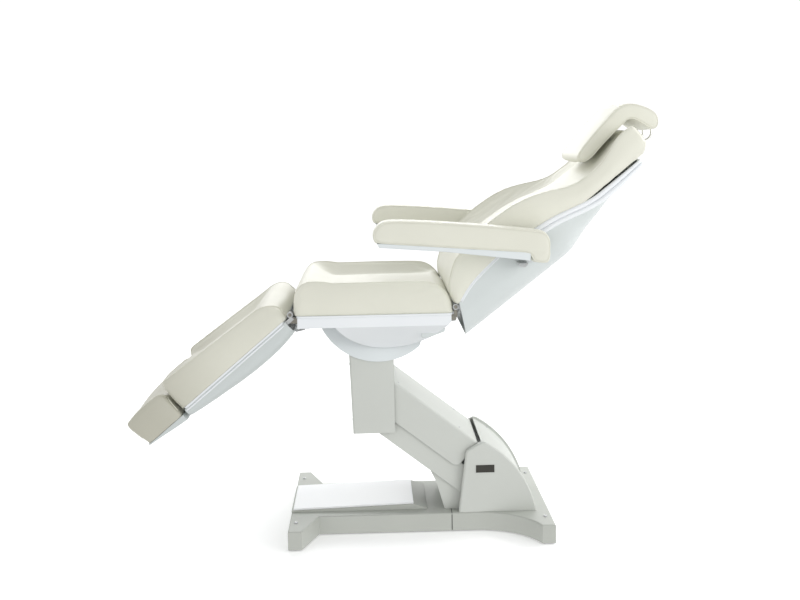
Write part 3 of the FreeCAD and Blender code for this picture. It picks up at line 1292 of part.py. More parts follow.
def pillow():
    start, bend, reach = d.pillow_start.number, pillow_bend.number, pillow_reach.number
    under, thick = d.pillow_under.number, d.pillow_thick.number
    hook, fall = d.pillow_hook.number, d.pillow_slope.number
    half = d.pillow_half.number

    def outline(y, inset):
        """The hooked outline of the pillow, drawn in by an inset."""
        low_in = (start + inset, y, under - fall + inset)
        low_out = (start + 4 + inset, y, under - fall + thick * 0.72 - inset)
        tip = (start - 3 + inset, y, under - fall + thick * 0.36)
        top_mid = ((start + bend) / 2, y, under + thick - fall * 0.42 - inset)
        top = (bend, y, under + thick - inset)
        round_out = (between(bend, reach, 0.72), y, under + thick * 0.44 - inset * 0.7)
        outer = (reach - inset, y, hook + 30)
        toe = (reach - thick * 0.34, y, hook - 6 + inset)
        toe_in = (reach - thick * 0.86 + inset, y, hook + 6 + inset)
        inner = (bend + 24 + inset, y, under - 22 + inset)
        crook = (bend + 18 + inset, y, under - 5 + inset)
        under_bend = (bend + 4, y, under + inset)
        edges = chords(low_in, tip, low_out, SOFT_RUNS) + chords(low_out, top_mid, top, SOFT_RUNS)
        edges += chords(top, round_out, outer, SOFT_RUNS * 2) + chords(outer, toe, toe_in, SOFT_RUNS)
        edges.append(Part.makeLine(Vector(*toe_in), Vector(*inner)))
        edges += chords(inner, crook, under_bend, SOFT_RUNS)
        edges.append(Part.makeLine(Vector(*under_bend), Vector(*low_in)))
        return Part.Wire(edges)
    inset, end_inset = d.pillow_round.number, d.pillow_end_round.number
    shoulder = half - (end_inset - inset)
    stations = ((-half, end_inset), (-shoulder, inset), (shoulder, inset), (half, end_inset))
    wires = [outline(y, inset) for y, inset in stations]
    soft_piece("pillow_cushion", loft_solid(wires), back_frame)
    toe_x, toe_z = pillow_reach - d.pillow_thick * 0.86 + d.pillow_round, d.pillow_hook + 6 + d.pillow_round
    crook_x, crook_z = pillow_bend + 24 + d.pillow_round, d.pillow_under - 22 + d.pillow_round
    face_x = toe_x + (crook_x - toe_x) * (d.bail_z - toe_z) / (crook_z - toe_z)
    end = face_x - (d.bail_radius + d.soft_gap / 2) * 1.1
    legs = [round_bar("X", (y, d.bail_z), (bail_root(), end), d.bail_radius) for y in (d.bail_y, -d.bail_y)]
    cross = round_bar("Y", (end, d.bail_z), centred(d.bail_y), d.bail_radius)
    keep("pillow_bail", fuse(legs + [cross]), back_frame)


# Leg rest
def tapered_shell(half, side, section, length, inner_side, inner_section):
    """A tray whose sides slope in below, open at its top and at its hinge end."""
    wide = centred(half + 1)
    outer = common(prism("XZ_Plane", side, wide), prism("YZ_Plane", section, length))
    inner = common(prism("XZ_Plane", inner_side, wide), prism("YZ_Plane", inner_section, length))
    return outer, inner


def mirrored_section(half):
    return half + [(-y, z) for y, z in reversed(half)]


def leg_parts():
    top = -d.trim_height
    wall = d.shell_wall
    side = [(-d.leg_end, top), (-d.leg_end, -d.leg_depth_end), (-d.leg_start, -d.leg_depth), (-d.leg_start, top)]
    inner_side = [(-d.leg_end + wall, top + 1), (-d.leg_end + wall, -d.leg_depth_end + wall),
                  (-d.leg_start + 1, -d.leg_depth + wall), (-d.leg_start + 1, top + 1)]
    low = -d.leg_depth - 2
    section = mirrored_section([(d.leg_half, top + 2), (d.leg_half, top - d.leg_side), (d.leg_keel, low)])
    inner_section = mirrored_section([(d.leg_half - wall, top + 2), (d.leg_half - wall, top - d.leg_side),
                                      (d.leg_keel - wall, low)])
    length = (-d.leg_end - 1, -d.leg_start + 1)
    outer, inner = tapered_shell(d.leg_half, side, section, length, inner_side, inner_section)
    tools = [inner]
    rod_z = -d.foot_tray_top - d.slide_rod
    for y in (d.leg_rail_y, -d.leg_rail_y):
        tools.append(round_bar("X", (y, rod_z), (-d.leg_end - 1, -d.leg_end + wall * 2), d.slide_rod + wall / 2))
    lever_y = (-d.seat_drive_y - d.drive_box, -d.seat_drive_y + d.drive_box)
    tools.append(box((-d.leg_start * 3, -d.leg_start + 1), lever_y, (low, -d.leg_depth + wall * 3)))
    keep("leg_shell", cut(outer, tools), leg_frame)
    trim = prism("XY_Plane", [
        (-d.leg_end + wall, -(d.leg_half + d.trim_lip)), (-d.leg_start, -(d.leg_half + d.trim_lip)),
        (-d.leg_start, d.leg_half + d.trim_lip), (-d.leg_end + wall, d.leg_half + d.trim_lip)], (top, ZERO))
    soften(trim, d.trim_round, lambda e: runs_along(e, "Z"))
    keep("leg_trim", trim, leg_frame)


def moving_leaf_y():
    start = d.leaf_y + d.leaf_thickness / 2 + d.leaf_gap
    return (start, start + d.leaf_thickness)


def leg_steel():
    top = -d.trim_height
    rail_z = (top - d.leg_rail_height, top)
    rail_x = (-d.leg_rail_end, -d.leg_rail_start)
    rod_z = -d.foot_tray_top - d.slide_rod
    parts, bores = [], []
    leaf = moving_leaf_y()
    eye_bar_z = (top - d.leaf_thickness * 2, top)
    for sign in (1, -1):
        y = sign * d.leg_rail_y
        parts.append(box(rail_x, (y - d.leg_rail_width / 2, y + d.leg_rail_width / 2), rail_z))
        bores.append(round_bar("X", (y, rod_z), (-d.leg_rail_end - 1, -d.leg_rail_end + d.slide_reach),
                               d.slide_rod + d.running_gap))
        side = leaf if sign > 0 else both_sides(leaf)
        parts.append(box((-d.leg_rail_start - d.leg_rail_width, ZERO), side, eye_bar_z))
        parts.append(round_bar("Y", (ZERO, ZERO), side, d.hinge_eye))
        bores.append(round_bar("Y", (ZERO, ZERO), (side[0] - 1, side[1] + 1), d.hinge_pin + d.running_gap))
    cross_x = (-d.leg_rail_start - d.leg_rail_width, -d.leg_rail_start)
    parts.append(box(cross_x, centred(leaf[1]), eye_bar_z))
    lever_y = (-d.seat_drive_y - d.lever_half, -d.seat_drive_y + d.lever_half)
    reach = d.leg_hinge_z + d.seat_drive_z
    lever_root = (-d.leg_rail_start - d.leg_rail_width / 2, eye_bar_z[0])
    parts.append(lever_plate(d.leg_angle - d.leg_mid, -1, reach, d.leg_swing, lever_y, lever_root))
    keep("leg_frame", cut(fuse(parts), bores), leg_frame)


# Foot extension
def foot_parts():
    top = -d.foot_tray_top
    low = top - d.foot_tray_depth
    tray_end = -d.foot_end + d.trim_lip * 3
    tray = prism("XZ_Plane", [(-d.foot_start, top), (tray_end, top), (tray_end + d.foot_tray_depth / 2, low),
                              (-d.foot_start, low)], centred(d.foot_half))
    keep("foot_tray", tray, leg_frame)
    rods = []
    for y in (d.leg_rail_y, -d.leg_rail_y):
        rods.append(round_bar("X", (y, top - d.slide_rod), (-d.foot_start, -d.foot_start + d.slide_reach), d.slide_rod))
    keep("foot_rails", group(rods), leg_frame)
    base = top.number + d.soft_gap.number
    start, end = -d.foot_start.number, -d.foot_end.number
    half = (d.foot_half + d.trim_lip).number
    drawn = d.trim_lip.number * 2
    run = end - start
    stations = ((start, 0.30, 6.0), (start + run * 0.12, 0.04, 0.0), (start + run * 0.74, 0.05, 0.0),
                (start + run * 0.94, 0.16, 6.0), (end, 0.38, 12.0))
    wires = []
    for x, drop, inset in stations:
        crest = base + (d.foot_crest.number - base) * (1 - drop)
        shoulder = base + (crest - base) * 0.66
        wires.append(cushion_section(x, base, half - inset, shoulder, crest, crest - 4.0, drawn, half * 0.26))
    soft_piece("foot_cushion", loft_solid(wires), leg_frame)


# Backrest
def back_plan(grow):
    """The plan of the back, which draws in from the neck to its top."""
    half = d.back_half + grow
    top_half = half - d.back_top_draw
    start, end = -d.back_heel - d.back_depth * 2, d.back_end + 1
    return [(start, -half), (d.seam_high_x, -half), (end, -top_half), (end, top_half), (d.seam_high_x, half),
            (start, half)]


def back_parts():
    seam = back_seam()
    wall = d.shell_wall
    side = [(-d.back_heel, -d.back_depth), (d.back_flat, -d.back_depth), (d.back_slim_x, -d.back_slim_z),
            (d.back_end, -d.back_end_low)] + list(reversed(seam))
    over = d.lumbar_crest
    inner_side = [(-d.back_heel - d.back_depth, -d.back_depth + wall), (d.back_flat - wall / 2, -d.back_depth + wall),
                  (d.back_slim_x - wall / 2, -d.back_slim_z + wall), (d.back_end - wall, -d.back_end_low + wall),
                  (d.back_end - wall, over), (-d.back_heel - d.back_depth, over)]
    low = -d.back_depth - 1
    section = mirrored_section([(d.back_half, over), (d.back_half, -d.back_side), (d.back_keel, low)])
    inner_section = mirrored_section([(d.back_half - wall, over + 1), (d.back_half - wall, -d.back_side),
                                      (d.back_keel - wall, low)])
    length = (-d.back_heel - d.back_depth - 1, d.back_end + 1)
    outer, inner = tapered_shell(d.back_half, side, section, length, inner_side, inner_section)
    tall = centred(d.back_end)
    outer = common(outer, prism("XY_Plane", back_plan(ZERO), tall))
    inner = common(inner, prism("XY_Plane", back_plan(-wall), tall))
    keep("back_shell", cut(outer, [inner]), back_frame)
    upper = [(x, z + d.trim_height) for x, z in reversed(seam)]
    strip = prism("XZ_Plane", seam + upper, centred(d.back_half + d.trim_lip))
    keep("back_trim", common(strip, prism("XY_Plane", back_plan(d.trim_lip), tall)), back_frame)


def back_steel():
    floor = -d.back_depth + d.shell_wall
    rail_x = (d.hinge_eye, d.back_flat - d.shell_wall * 2)
    rail_z = (floor, floor + d.back_rail_height)
    bar_at = (d.back_rail_width * 1.2, -d.back_side + d.tie_radius + 1)
    leaf = moving_leaf_y()
    neck = [(-d.leaf_thickness, ZERO), (d.leaf_thickness, d.leaf_thickness / 2),
            (bar_at[0] + d.tie_radius * 0.7, bar_at[1]),
            (bar_at[0] - d.tie_radius * 0.7, bar_at[1] - d.leaf_thickness / 2)]
    parts = [box((bar_at[0] - d.tie_radius, bar_at[0] + d.tie_radius), centred(leaf[1]),
                 (bar_at[1] - d.tie_radius, bar_at[1] + d.tie_radius))]
    bores = []
    for sign in (1, -1):
        y = sign * d.back_rail_y
        parts.append(box(rail_x, (y - d.back_rail_width / 2, y + d.back_rail_width / 2), rail_z))
        side = leaf if sign > 0 else both_sides(leaf)
        parts.append(prism("XZ_Plane", neck, side))
        parts.append(round_bar("Y", (ZERO, ZERO), side, d.hinge_eye))
        bores.append(round_bar("Y", (ZERO, ZERO), (side[0] - 1, side[1] + 1), d.hinge_pin + d.running_gap))
    lever_y = (d.seat_drive_y - d.lever_half, d.seat_drive_y + d.lever_half)
    reach = d.back_hinge_z + d.seat_drive_z
    parts.append(lever_plate(d.back_angle - d.back_mid, -1, reach, d.back_swing, lever_y, bar_at))
    keep("back_frame", cut(fuse(parts), bores), back_frame)
    pins = []
    at = (d.arm_pivot_x, d.arm_pivot_z)
    for flip in (False, True):
        boss = (d.back_half, d.arm_boss_end)
        pin = (d.back_half, d.arm_inner + d.arm_boss)
        if flip:
            boss, pin = both_sides(boss), both_sides(pin)
        pins.append(fuse([round_bar("Y", at, boss, d.arm_boss), round_bar("Y", at, pin, d.arm_pin)]))
    keep("arm_pivot_pins", group(pins), back_frame)


# Armrests
def armrests():
    hub_y = (d.arm_boss_end + d.running_gap, d.arm_inner + d.arm_boss)
    base_y = (d.arm_inner + d.trim_lip, d.arm_inner + d.arm_width - d.trim_lip)
    seam = d.arm_seam
    low_front = seam - d.arm_base_depth
    low_rear = seam - d.arm_base_heel
    profile = [(-d.arm_front + d.arm_base_depth, seam), (-d.arm_front + d.arm_base_depth * 1.6, low_front),
               (-d.arm_front * 0.55, low_front), (-d.arm_hub, low_rear), (-d.arm_hub, seam)]
    for name, flip in (("right", False), ("left", True)):
        hub, base = (both_sides(hub_y), both_sides(base_y)) if flip else (hub_y, base_y)
        solid = fuse([
            prism("XZ_Plane", profile, base), round_bar("Y", (ZERO, ZERO), hub, d.arm_hub),
            box((-d.arm_hub * 2, ZERO), hub, (low_rear, seam - d.soft_gap))])
        bore = round_bar("Y", (ZERO, ZERO), (hub[0] - 1, hub[1] + 1), d.arm_pin + d.running_gap)
        keep(f"arm_base_{name}", cut(solid, [bore]), arm_frame)
        arm_pad(name, -1 if flip else 1)


def arm_pad(name, sign):
    base = (d.arm_seam + d.soft_gap).number
    half = d.arm_width.number / 2
    middle = sign * (d.arm_inner.number + half)
    top = d.arm_top.number
    front, rear = -d.arm_front.number, d.arm_back.number
    # Place, drop of the top, and draw-in of the plan
    stations = ((front, 0.52, 14.0), (front + 8, 0.16, 5.0), (front * 0.55, -0.04, 0.0), (rear - 10, 0.08, 2.0),
                (rear, 0.28, 8.0))
    wires = []
    for x, drop, inset in stations:
        crown = base + (top - base) * (1 - drop)
        width = half - inset
        side = base + (crown - base) * 0.72
        foot = width - 5.0
        edges = [Part.makeLine(Vector(x, middle - foot, base), Vector(x, middle + foot, base))]
        side_z = (base + side) / 2
        edges += chords((x, middle + foot, base), (x, middle + width + 1.0, side_z), (x, middle + width, side), 2)
        edges += chords((x, middle + width, side), (x, middle, crown), (x, middle - width, side), SOFT_RUNS * 2)
        edges += chords((x, middle - width, side), (x, middle - width - 1.0, side_z), (x, middle - foot, base), 2)
        wires.append(Part.Wire(edges))
    pad = loft_solid(wires)
    cap_y = d.arm_inner.number + d.arm_boss.number + 2.0
    cap_end = d.arm_inner.number + d.arm_width.number - 4.0
    cap_x = -d.arm_hub.number + 4.0
    cap = Part.makeBox(rear - 2.0 - cap_x, cap_end - cap_y, base + d.arm_cap.number + 4.0,
                       Vector(cap_x, cap_y if sign > 0 else -cap_end, -d.arm_cap.number))
    rounded = [e for e in cap.Edges if runs_along(e, "Y") and e.BoundBox.ZMax < 0]
    cap = cap.makeFillet(d.arm_cap.number, rounded)
    soft_piece(f"arm_pad_{name}", pad.fuse(cap).removeSplitter(), arm_frame)


# Build every piece
base_chassis()
foot_pads()
cover_screws()
base_covers()
ramp()
hood()
hood_apron()
badge_plate()
pivot_brackets()
pivot_pins("rear_pivot_pins", d.rear_pivot_x, d.rear_pivot_z, None)
lift_drive()
control_box()
lift_links()
arm_covers()
column()
pivot_pins("front_pivot_pins", ZERO, ZERO, column_frame)
column_cover()
tilt_head_cover()
tilt_drive()
seat_steel()
seat_pan()
seat_trim()
seat_cushion()
seat_hinges()
seat_drives()
leg_parts()
leg_steel()
leg_cushion()
foot_parts()
back_parts()
back_steel()
back_cushion()
pillow()
armrests()
doc.recompute()

# Check every object and every piece, then write the pieces
for obj in doc.Objects:
    if "Invalid" in obj.State or "Error" in obj.State:
        raise RuntimeError(f"{obj.Name} failed to build: {obj.State}")
for name, obj in nodes.items():
    if obj.Shape.isNull() or not obj.Shape.isValid():
        raise RuntimeError(f"{name} has no valid shape")
os.makedirs("parts", exist_ok=True)
for name, obj in nodes.items():
    obj.Shape.exportStep(os.path.join("parts", f"{name}.step"))
print(len(nodes), "pieces written")
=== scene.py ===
import math
from collections import namedtuple

import bmesh
import bpy
import numpy as np
from mathutils import Matrix, Vector
from mathutils.bvhtree import BVHTree
from mathutils.kdtree import KDTree


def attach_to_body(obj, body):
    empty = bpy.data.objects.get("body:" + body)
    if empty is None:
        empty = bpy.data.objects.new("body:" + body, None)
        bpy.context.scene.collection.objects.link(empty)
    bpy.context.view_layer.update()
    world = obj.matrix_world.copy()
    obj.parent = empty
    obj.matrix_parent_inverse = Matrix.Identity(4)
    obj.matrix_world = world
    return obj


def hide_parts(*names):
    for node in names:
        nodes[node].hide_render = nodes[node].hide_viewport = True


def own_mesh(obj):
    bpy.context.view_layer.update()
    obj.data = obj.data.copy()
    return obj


# A beauty treatment couch: soft pieces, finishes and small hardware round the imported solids, in metres
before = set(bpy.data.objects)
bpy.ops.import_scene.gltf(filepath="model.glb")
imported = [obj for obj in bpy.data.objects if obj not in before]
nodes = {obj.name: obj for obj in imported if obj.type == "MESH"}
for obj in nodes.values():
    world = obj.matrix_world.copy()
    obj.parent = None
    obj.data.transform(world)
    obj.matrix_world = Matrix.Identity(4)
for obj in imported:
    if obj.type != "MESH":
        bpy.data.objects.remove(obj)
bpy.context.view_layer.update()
SIDES = (-1, 1)


# Frames of the moving parts, each with its own along and up directions
class Place:
    """A frame in the plane of the couch's side: u runs along the part and v stands up from it."""

    def __init__(self, x, z, slope, head_end):
        self.x = x
        self.z = z
        angle = math.radians(slope)
        self.along = (head_end * math.cos(angle), math.sin(angle))
        self.up = (-head_end * math.sin(angle), math.cos(angle))

    def point(self, u, y, v):
        x = self.x + u * self.along[0] + v * self.up[0]
        z = self.z + u * self.along[1] + v * self.up[1]
        return (x, y, z)

    def local(self, x, z):
        across, rise = x - self.x, z - self.z
        return across * self.along[0] + rise * self.along[1], across * self.up[0] + rise * self.up[1]


seat_place = Place(x=-0.114605, z=0.690048, slope=0.0, head_end=1)
leg_place = Place(x=-0.382605, z=0.727048, slope=-40.0, head_end=-1)
back_place = Place(x=0.112395, z=0.740048, slope=38.0, head_end=1)
arm_place = Place(x=0.335624, z=0.892880, slope=4.6, head_end=-1)
foot_place = leg_place


# Curves and shares
def through(points):
    """A curve through points, rising and falling only where they do."""
    xs = np.array([p[0] for p in points], float)
    ys = np.array([p[1] for p in points], float)
    steps = np.diff(xs)
    rises = np.diff(ys) / steps
    slopes = np.zeros(len(xs))
    slopes[0] = rises[0]
    slopes[-1] = rises[-1]
    for i in range(1, len(xs) - 1):
        if rises[i - 1] * rises[i] > 0:
            before = 2 * steps[i] + steps[i - 1]
            after = steps[i] + 2 * steps[i - 1]
            slopes[i] = (before + after) / (before / rises[i - 1] + after / rises[i])

    def value(x):
        i = int(np.clip(np.searchsorted(xs, x) - 1, 0, len(steps) - 1))
        t = min(max((x - xs[i]) / steps[i], 0.0), 1.0)
        h = steps[i]
        start = (1 + 2 * t) * (1 - t) ** 2 * ys[i] + t * (1 - t) ** 2 * h * slopes[i]
        end = t * t * (3 - 2 * t) * ys[i + 1] + t * t * (t - 1) * h * slopes[i + 1]
        return float(start + end)
    return value


def ease(t):
    t = min(max(t, 0.0), 1.0)
    return t * t * (3 - 2 * t)


def easing(u, start, over):
    """An eased rise from 0 to 1 that begins at a start and takes a length."""
    return ease((u - start) / over)


def mix(a, b, share):
    return a + (b - a) * share


def quarter(steps):
    """The angles of a quarter turn in even steps."""
    return [i / steps * math.pi / 2 for i in range(steps + 1)]


def lengths_along(path):
    """How far along a path each of its points is."""
    return np.concatenate([[0], np.cumsum(np.linalg.norm(np.diff(path, axis=0), axis=1))])


def evenly(line, closed, step=0.003):
    """A line's points at even steps."""
    path = np.array(line + [line[0]] if closed else line)
    lengths = lengths_along(path)
    count = max(int(lengths[-1] / step), 2)
    spots = np.linspace(0, lengths[-1], count, endpoint=not closed)
    return [tuple(np.interp(s, lengths, path[:, k]) for k in range(3)) for s in spots]


# Meshes
MERGE_DISTANCE = 0.00001
CAP_POWER = 2.2
ROLL_TIP = 0.001


def linked(name, data):
    """A new object at the origin of the scene."""
    item = bpy.data.objects.new(name, data)
    bpy.context.scene.collection.objects.link(item)
    return item


def skinned(mesh, material):
    """Gives a mesh one material and smooth shading."""
    mesh.materials.clear()
    mesh.materials.append(material)
    for polygon in mesh.polygons:
        polygon.use_smooth = True


def new_piece(name, points, faces, material):
    """A mesh from points and faces, with its faces turned outwards."""
    mesh = bpy.data.meshes.new(name)
    shape = bmesh.new()
    corners = [shape.verts.new(p) for p in points]
    for face in faces:
        shape.faces.new([corners[i] for i in face])
    bmesh.ops.remove_doubles(shape, verts=shape.verts, dist=MERGE_DISTANCE)
    bmesh.ops.recalc_face_normals(shape, faces=shape.faces)
    shape.to_mesh(mesh)
    shape.free()
    skinned(mesh, material)
    return linked(name, mesh)


def joined(name, forms, material):
    """One piece from several closed forms."""
    points = []
    faces = []
    for form_points, form_faces in forms:
        first = len(points)
        points.extend(form_points)
        faces.extend(tuple(i + first for i in face) for face in form_faces)
    return new_piece(name, points, faces, material)


def baked(piece, name=None):
    """The piece as a plain mesh, with its modifiers in its vertices."""
    graph = bpy.context.evaluated_depsgraph_get()
    mesh = bpy.data.meshes.new_from_object(piece.evaluated_get(graph))
    name = name or piece.name
    bpy.data.objects.remove(piece)
    return linked(name, mesh)


def sharpened(piece, degrees=35.0):
    """Smooth shading that stops at edges steeper than an angle."""
    piece.data.set_sharp_from_angle(angle=math.radians(degrees))
    return piece


def strips(rows, count, closed=True):
    """Faces between neighbouring rows of points of equal count."""
    faces = []
    for i in range(rows - 1):
        for k in range(count if closed else count - 1):
            a = i * count + k
            b = i * count + (k + 1) % count
            faces.append((a, b, b + count, a + count))
    return faces


def capped(rows, count):
    """Faces of a tube of closed rows, with a flat face at each end."""
    last = (rows - 1) * count
    return strips(rows, count) + [tuple(reversed(range(count))), tuple(range(last, last + count))]


def loft_rings(rings, bulges, cap_steps=7):
    """Points and faces of a closed form through rings of equal count, with bulging ends."""
    count = len(rings[0])
    caps = []
    for ring, inner, bulge in ((rings[0], rings[1], bulges[0]), (rings[-1], rings[-2], bulges[1])):
        ring = np.array(ring)
        centre = ring.mean(axis=0)
        out = centre - np.array(inner).mean(axis=0)
        out = out / np.linalg.norm(out)
        added = []
        for step in range(1, cap_steps):
            share = 1 - step / cap_steps
            lift = bulge * (1 - share ** CAP_POWER)
            added.append([tuple(centre + (p - centre) * share + out * lift) for p in ring])
        caps.append((added, tuple(centre + out * bulge)))
    (first_rows, first_tip), (last_rows, last_tip) = caps
    rows = first_rows[::-1] + list(rings) + last_rows
    points = [p for row in rows for p in row] + [first_tip, last_tip]
    faces = strips(len(rows), count)
    base = (len(rows) - 1) * count
    for k in range(count):
        following = (k + 1) % count
        faces.append((following, k, len(points) - 2))
        faces.append((base + k, base + following, len(points) - 1))
    return points, faces


def roll(path, thickness, steps=10):
    """Points and faces of a round roll along a path, with its own thickness at each point."""
    path = np.array(path)
    lean = (0.2, 0.3, 0.93)
    turns = [k / steps * 2 * math.pi for k in range(steps)]
    rings = []
    for i, point in enumerate(path):
        ahead = path[min(i + 1, len(path) - 1)] - path[max(i - 1, 0)]
        ahead /= np.linalg.norm(ahead)
        side = np.cross(ahead, lean)
        side /= np.linalg.norm(side)
        over = np.cross(side, ahead)
        rings.append([tuple(point + (side * math.cos(t) + over * math.sin(t)) * thickness[i]) for t in turns])
    return loft_rings(rings, (ROLL_TIP, ROLL_TIP), 3)


def even_roll(path, thickness, steps=10):
    return roll(path, [thickness] * len(path), steps)


def line_object(name, lines, closed=False):
    """Lines of points as a mesh of edges."""
    points = []
    edges = []
    for line in lines:
        first = len(points)
        points.extend(line)
        edges.extend((first + i, first + i + 1) for i in range(len(line) - 1))
        if closed:
            edges.append((len(points) - 1, first))
    mesh = bpy.data.meshes.new(name)
    mesh.from_pydata(points, edges, [])
    return linked(name, mesh)


def surface_of(mesh):
    return BVHTree.FromPolygons([v.co for v in mesh.vertices], [p.vertices for p in mesh.polygons])


def attach(piece, body, node=None):
    """Rides a piece on its body, in place of a plain solid where one is named."""
    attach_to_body(piece, body)
    if node:
        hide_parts(node)


# Node trees, built node by node
class Value:
    """An outlet of a node that does sums: an expression on values adds its Math nodes."""

    def __init__(self, wiring, socket):
        self.wiring = wiring
        self.socket = socket

    def beside(self, outlet):
        """Another outlet of the same node."""
        return Value(self.wiring, self.socket.node.outputs[outlet])

    def sum(self, operation, first, second):
        return self.wiring.node("ShaderNodeMath", {"operation": operation}, {0: first, 1: second})

    def __add__(self, other):
        return self.sum("ADD", self, other)

    def __radd__(self, other):
        return self.sum("ADD", other, self)

    def __sub__(self, other):
        return self.sum("SUBTRACT", self, other)

    def __rsub__(self, other):
        return self.sum("SUBTRACT", other, self)

    def __mul__(self, other):
        return self.sum("MULTIPLY", self, other)

    def __rmul__(self, other):
        return self.sum("MULTIPLY", other, self)

    def __pow__(self, other):
        return self.sum("POWER", self, other)


class Wiring:
    """A node tree that takes a node's type, its settings, and the values or links of its sockets."""

    def __init__(self, tree):
        self.tree = tree

    def feed(self, socket, value):
        if isinstance(value, Value):
            self.tree.links.new(value.socket, socket)
        else:
            socket.default_value = value

    def node(self, kind, settings=None, sockets=None, outlet=0):
        made = self.tree.nodes.new(kind)
        for key, value in (settings or {}).items():
            setattr(made, key, value)
        for key, value in (sockets or {}).items():
            self.feed(made.inputs[key], value)
        return Value(self, made.outputs[outlet])


class Finish(Wiring):
    """A material on one principled shader."""

    def __init__(self, name, **constants):
        self.material = bpy.data.materials.new(name)
        self.material.use_nodes = True
        super().__init__(self.material.node_tree)
        self.tree.nodes.clear()
        self.shader = self.tree.nodes.new("ShaderNodeBsdfPrincipled")
        output = self.tree.nodes.new("ShaderNodeOutputMaterial")
        self.tree.links.new(self.shader.outputs[0], output.inputs["Surface"])
        for key, value in constants.items():
            self.shader.inputs[key.replace("_", " ")].default_value = value
        self.place = self.node("ShaderNodeTexCoord", outlet="Object")

    def noise(self, scale, detail):
        return self.node("ShaderNodeTexNoise", None, {
            "Vector": self.place, "Scale": scale, "Detail": detail, "Roughness": 0.55}, "Fac")

    def surface(self, share, light, deep, roughness, **relief):
        """Connects what varies: two tones mixed by a share, roughness and a bump."""
        first_colour, second_colour, mixed_colour = 6, 7, 2
        colour = self.node("ShaderNodeMix", {"data_type": "RGBA"}, {
            "Factor": share, first_colour: tone(*light), second_colour: tone(*deep)}, mixed_colour)
        self.feed(self.shader.inputs["Base Color"], colour)
        self.feed(self.shader.inputs["Roughness"], roughness)
        self.feed(self.shader.inputs["Normal"], self.node("ShaderNodeBump", None, relief))
        return self.material


def tone(red, green, blue):
    """A display colour of 0 to 255 as linear light."""
    linear = []
    for channel in (red, green, blue):
        share = channel / 255
        linear.append(share / 12.92 if share <= 0.04045 else ((share + 0.055) / 1.055) ** 2.4)
    return (*linear, 1.0)


# Materials
def leatherette(name, light, deep):
    """Soft coated cloth: fine pebbled grain, faint mottling and painted shade beside its seams, read from a
    point attribute.
    """
    finish = Finish(name, Specular_IOR_Level=0.42, Sheen_Weight=0.08)
    cells = finish.node("ShaderNodeTexVoronoi", {"feature": "SMOOTH_F1"}, {
        "Vector": finish.place, "Scale": 620.0, "Randomness": 0.9}, "Distance")
    fine = finish.noise(scale=1500.0, detail=2.0)
    mottle = finish.noise(scale=9.0, detail=4.0)
    # Painted shade: a point attribute, strongest beside the seams, mixes the cover towards its deeper tone.
    tuck = finish.node("ShaderNodeAttribute", {"attribute_name": "tuck"}, None, "Fac")
    roughness = 0.40 + mottle * 0.10 + cells * 0.06
    height = cells * 0.7 + fine * 0.3
    return finish.surface(mottle * 0.15 + tuck * 0.8, light, deep, roughness,
                          Strength=0.22, Distance=0.0005, Height=height)


def moulding(name, light, deep, rough, grain):
    """Moulded plastic: a faint spark texture, slow tone changes and softened edges."""
    finish = Finish(name, Specular_IOR_Level=0.45)
    spark = finish.noise(grain, detail=2.0)
    cloud = finish.noise(scale=5.0, detail=3.0)
    rounded = finish.node("ShaderNodeBevel", {"samples": 6}, {"Radius": 0.0028})
    roughness = rough + cloud * 0.08 + spark * 0.05
    return finish.surface(cloud, light, deep, roughness,
                          Strength=0.10, Distance=0.0003, Height=spark, Normal=rounded)


def metal(name, light, deep, rough, grain, worn):
    """Metal with fine drawn lines, blotches and a little dirt."""
    finish = Finish(name, Metallic=1.0)
    lines = finish.noise(grain, detail=2.0)
    blotch = finish.noise(scale=60.0, detail=4.0)
    roughness = rough + blotch * 0.18 + lines * 0.06
    return finish.surface(blotch ** 1.5 * worn, light, deep, roughness,
                          Strength=0.12, Distance=0.0003, Height=lines)


def painted(name, light, deep, rough, grain, strength, **constants):
    """Sprayed paint, rubber or dark plastic: a fine skin with slow tone changes."""
    finish = Finish(name, Specular_IOR_Level=0.4, **constants)
    skin = finish.noise(grain, detail=3.0)
    cloud = finish.noise(scale=14.0, detail=3.0)
    return finish.surface(cloud, light, deep, rough + skin * 0.10,
                          Strength=strength, Distance=0.0004, Height=skin)


# The deeper ivory tone takes the faint mottling and, mostly, painted shade beside seams and at the leg rest's
# foot end.
ivory = leatherette("ivory_leatherette", (226, 226, 213), (172, 170, 155))
shell_white = moulding("shell_plastic", (224, 230, 231), (216, 222, 223), rough=0.34, grain=900.0)
# Darker copies of the shell white, as painted shade on the undersides: the back and leg rest dishes, the foot
# tray and the seat's rear corners.
dish_shaded_white = moulding("back_dish_plastic", (212, 218, 217), (203, 209, 208), rough=0.36, grain=900.0)
leg_shaded_white = moulding("leg_dish_plastic", (204, 210, 209), (195, 201, 200), rough=0.36, grain=900.0)
# Darker copies of the shell white, as painted shade on the lower parts: darkest for the base covers and ramp
# body near the floor, less for the hood, column and arm covers.
plinth_shaded_white = moulding("plinth_plastic", (188, 191, 184), (179, 182, 175), rough=0.44, grain=1100.0)
base_shaded_white = moulding("base_plastic", (204, 207, 201), (196, 199, 193), rough=0.42, grain=1100.0)
trim_white_and_pan_light = moulding("trim_plastic", (238, 241, 243), (230, 234, 237), rough=0.25, grain=700.0)
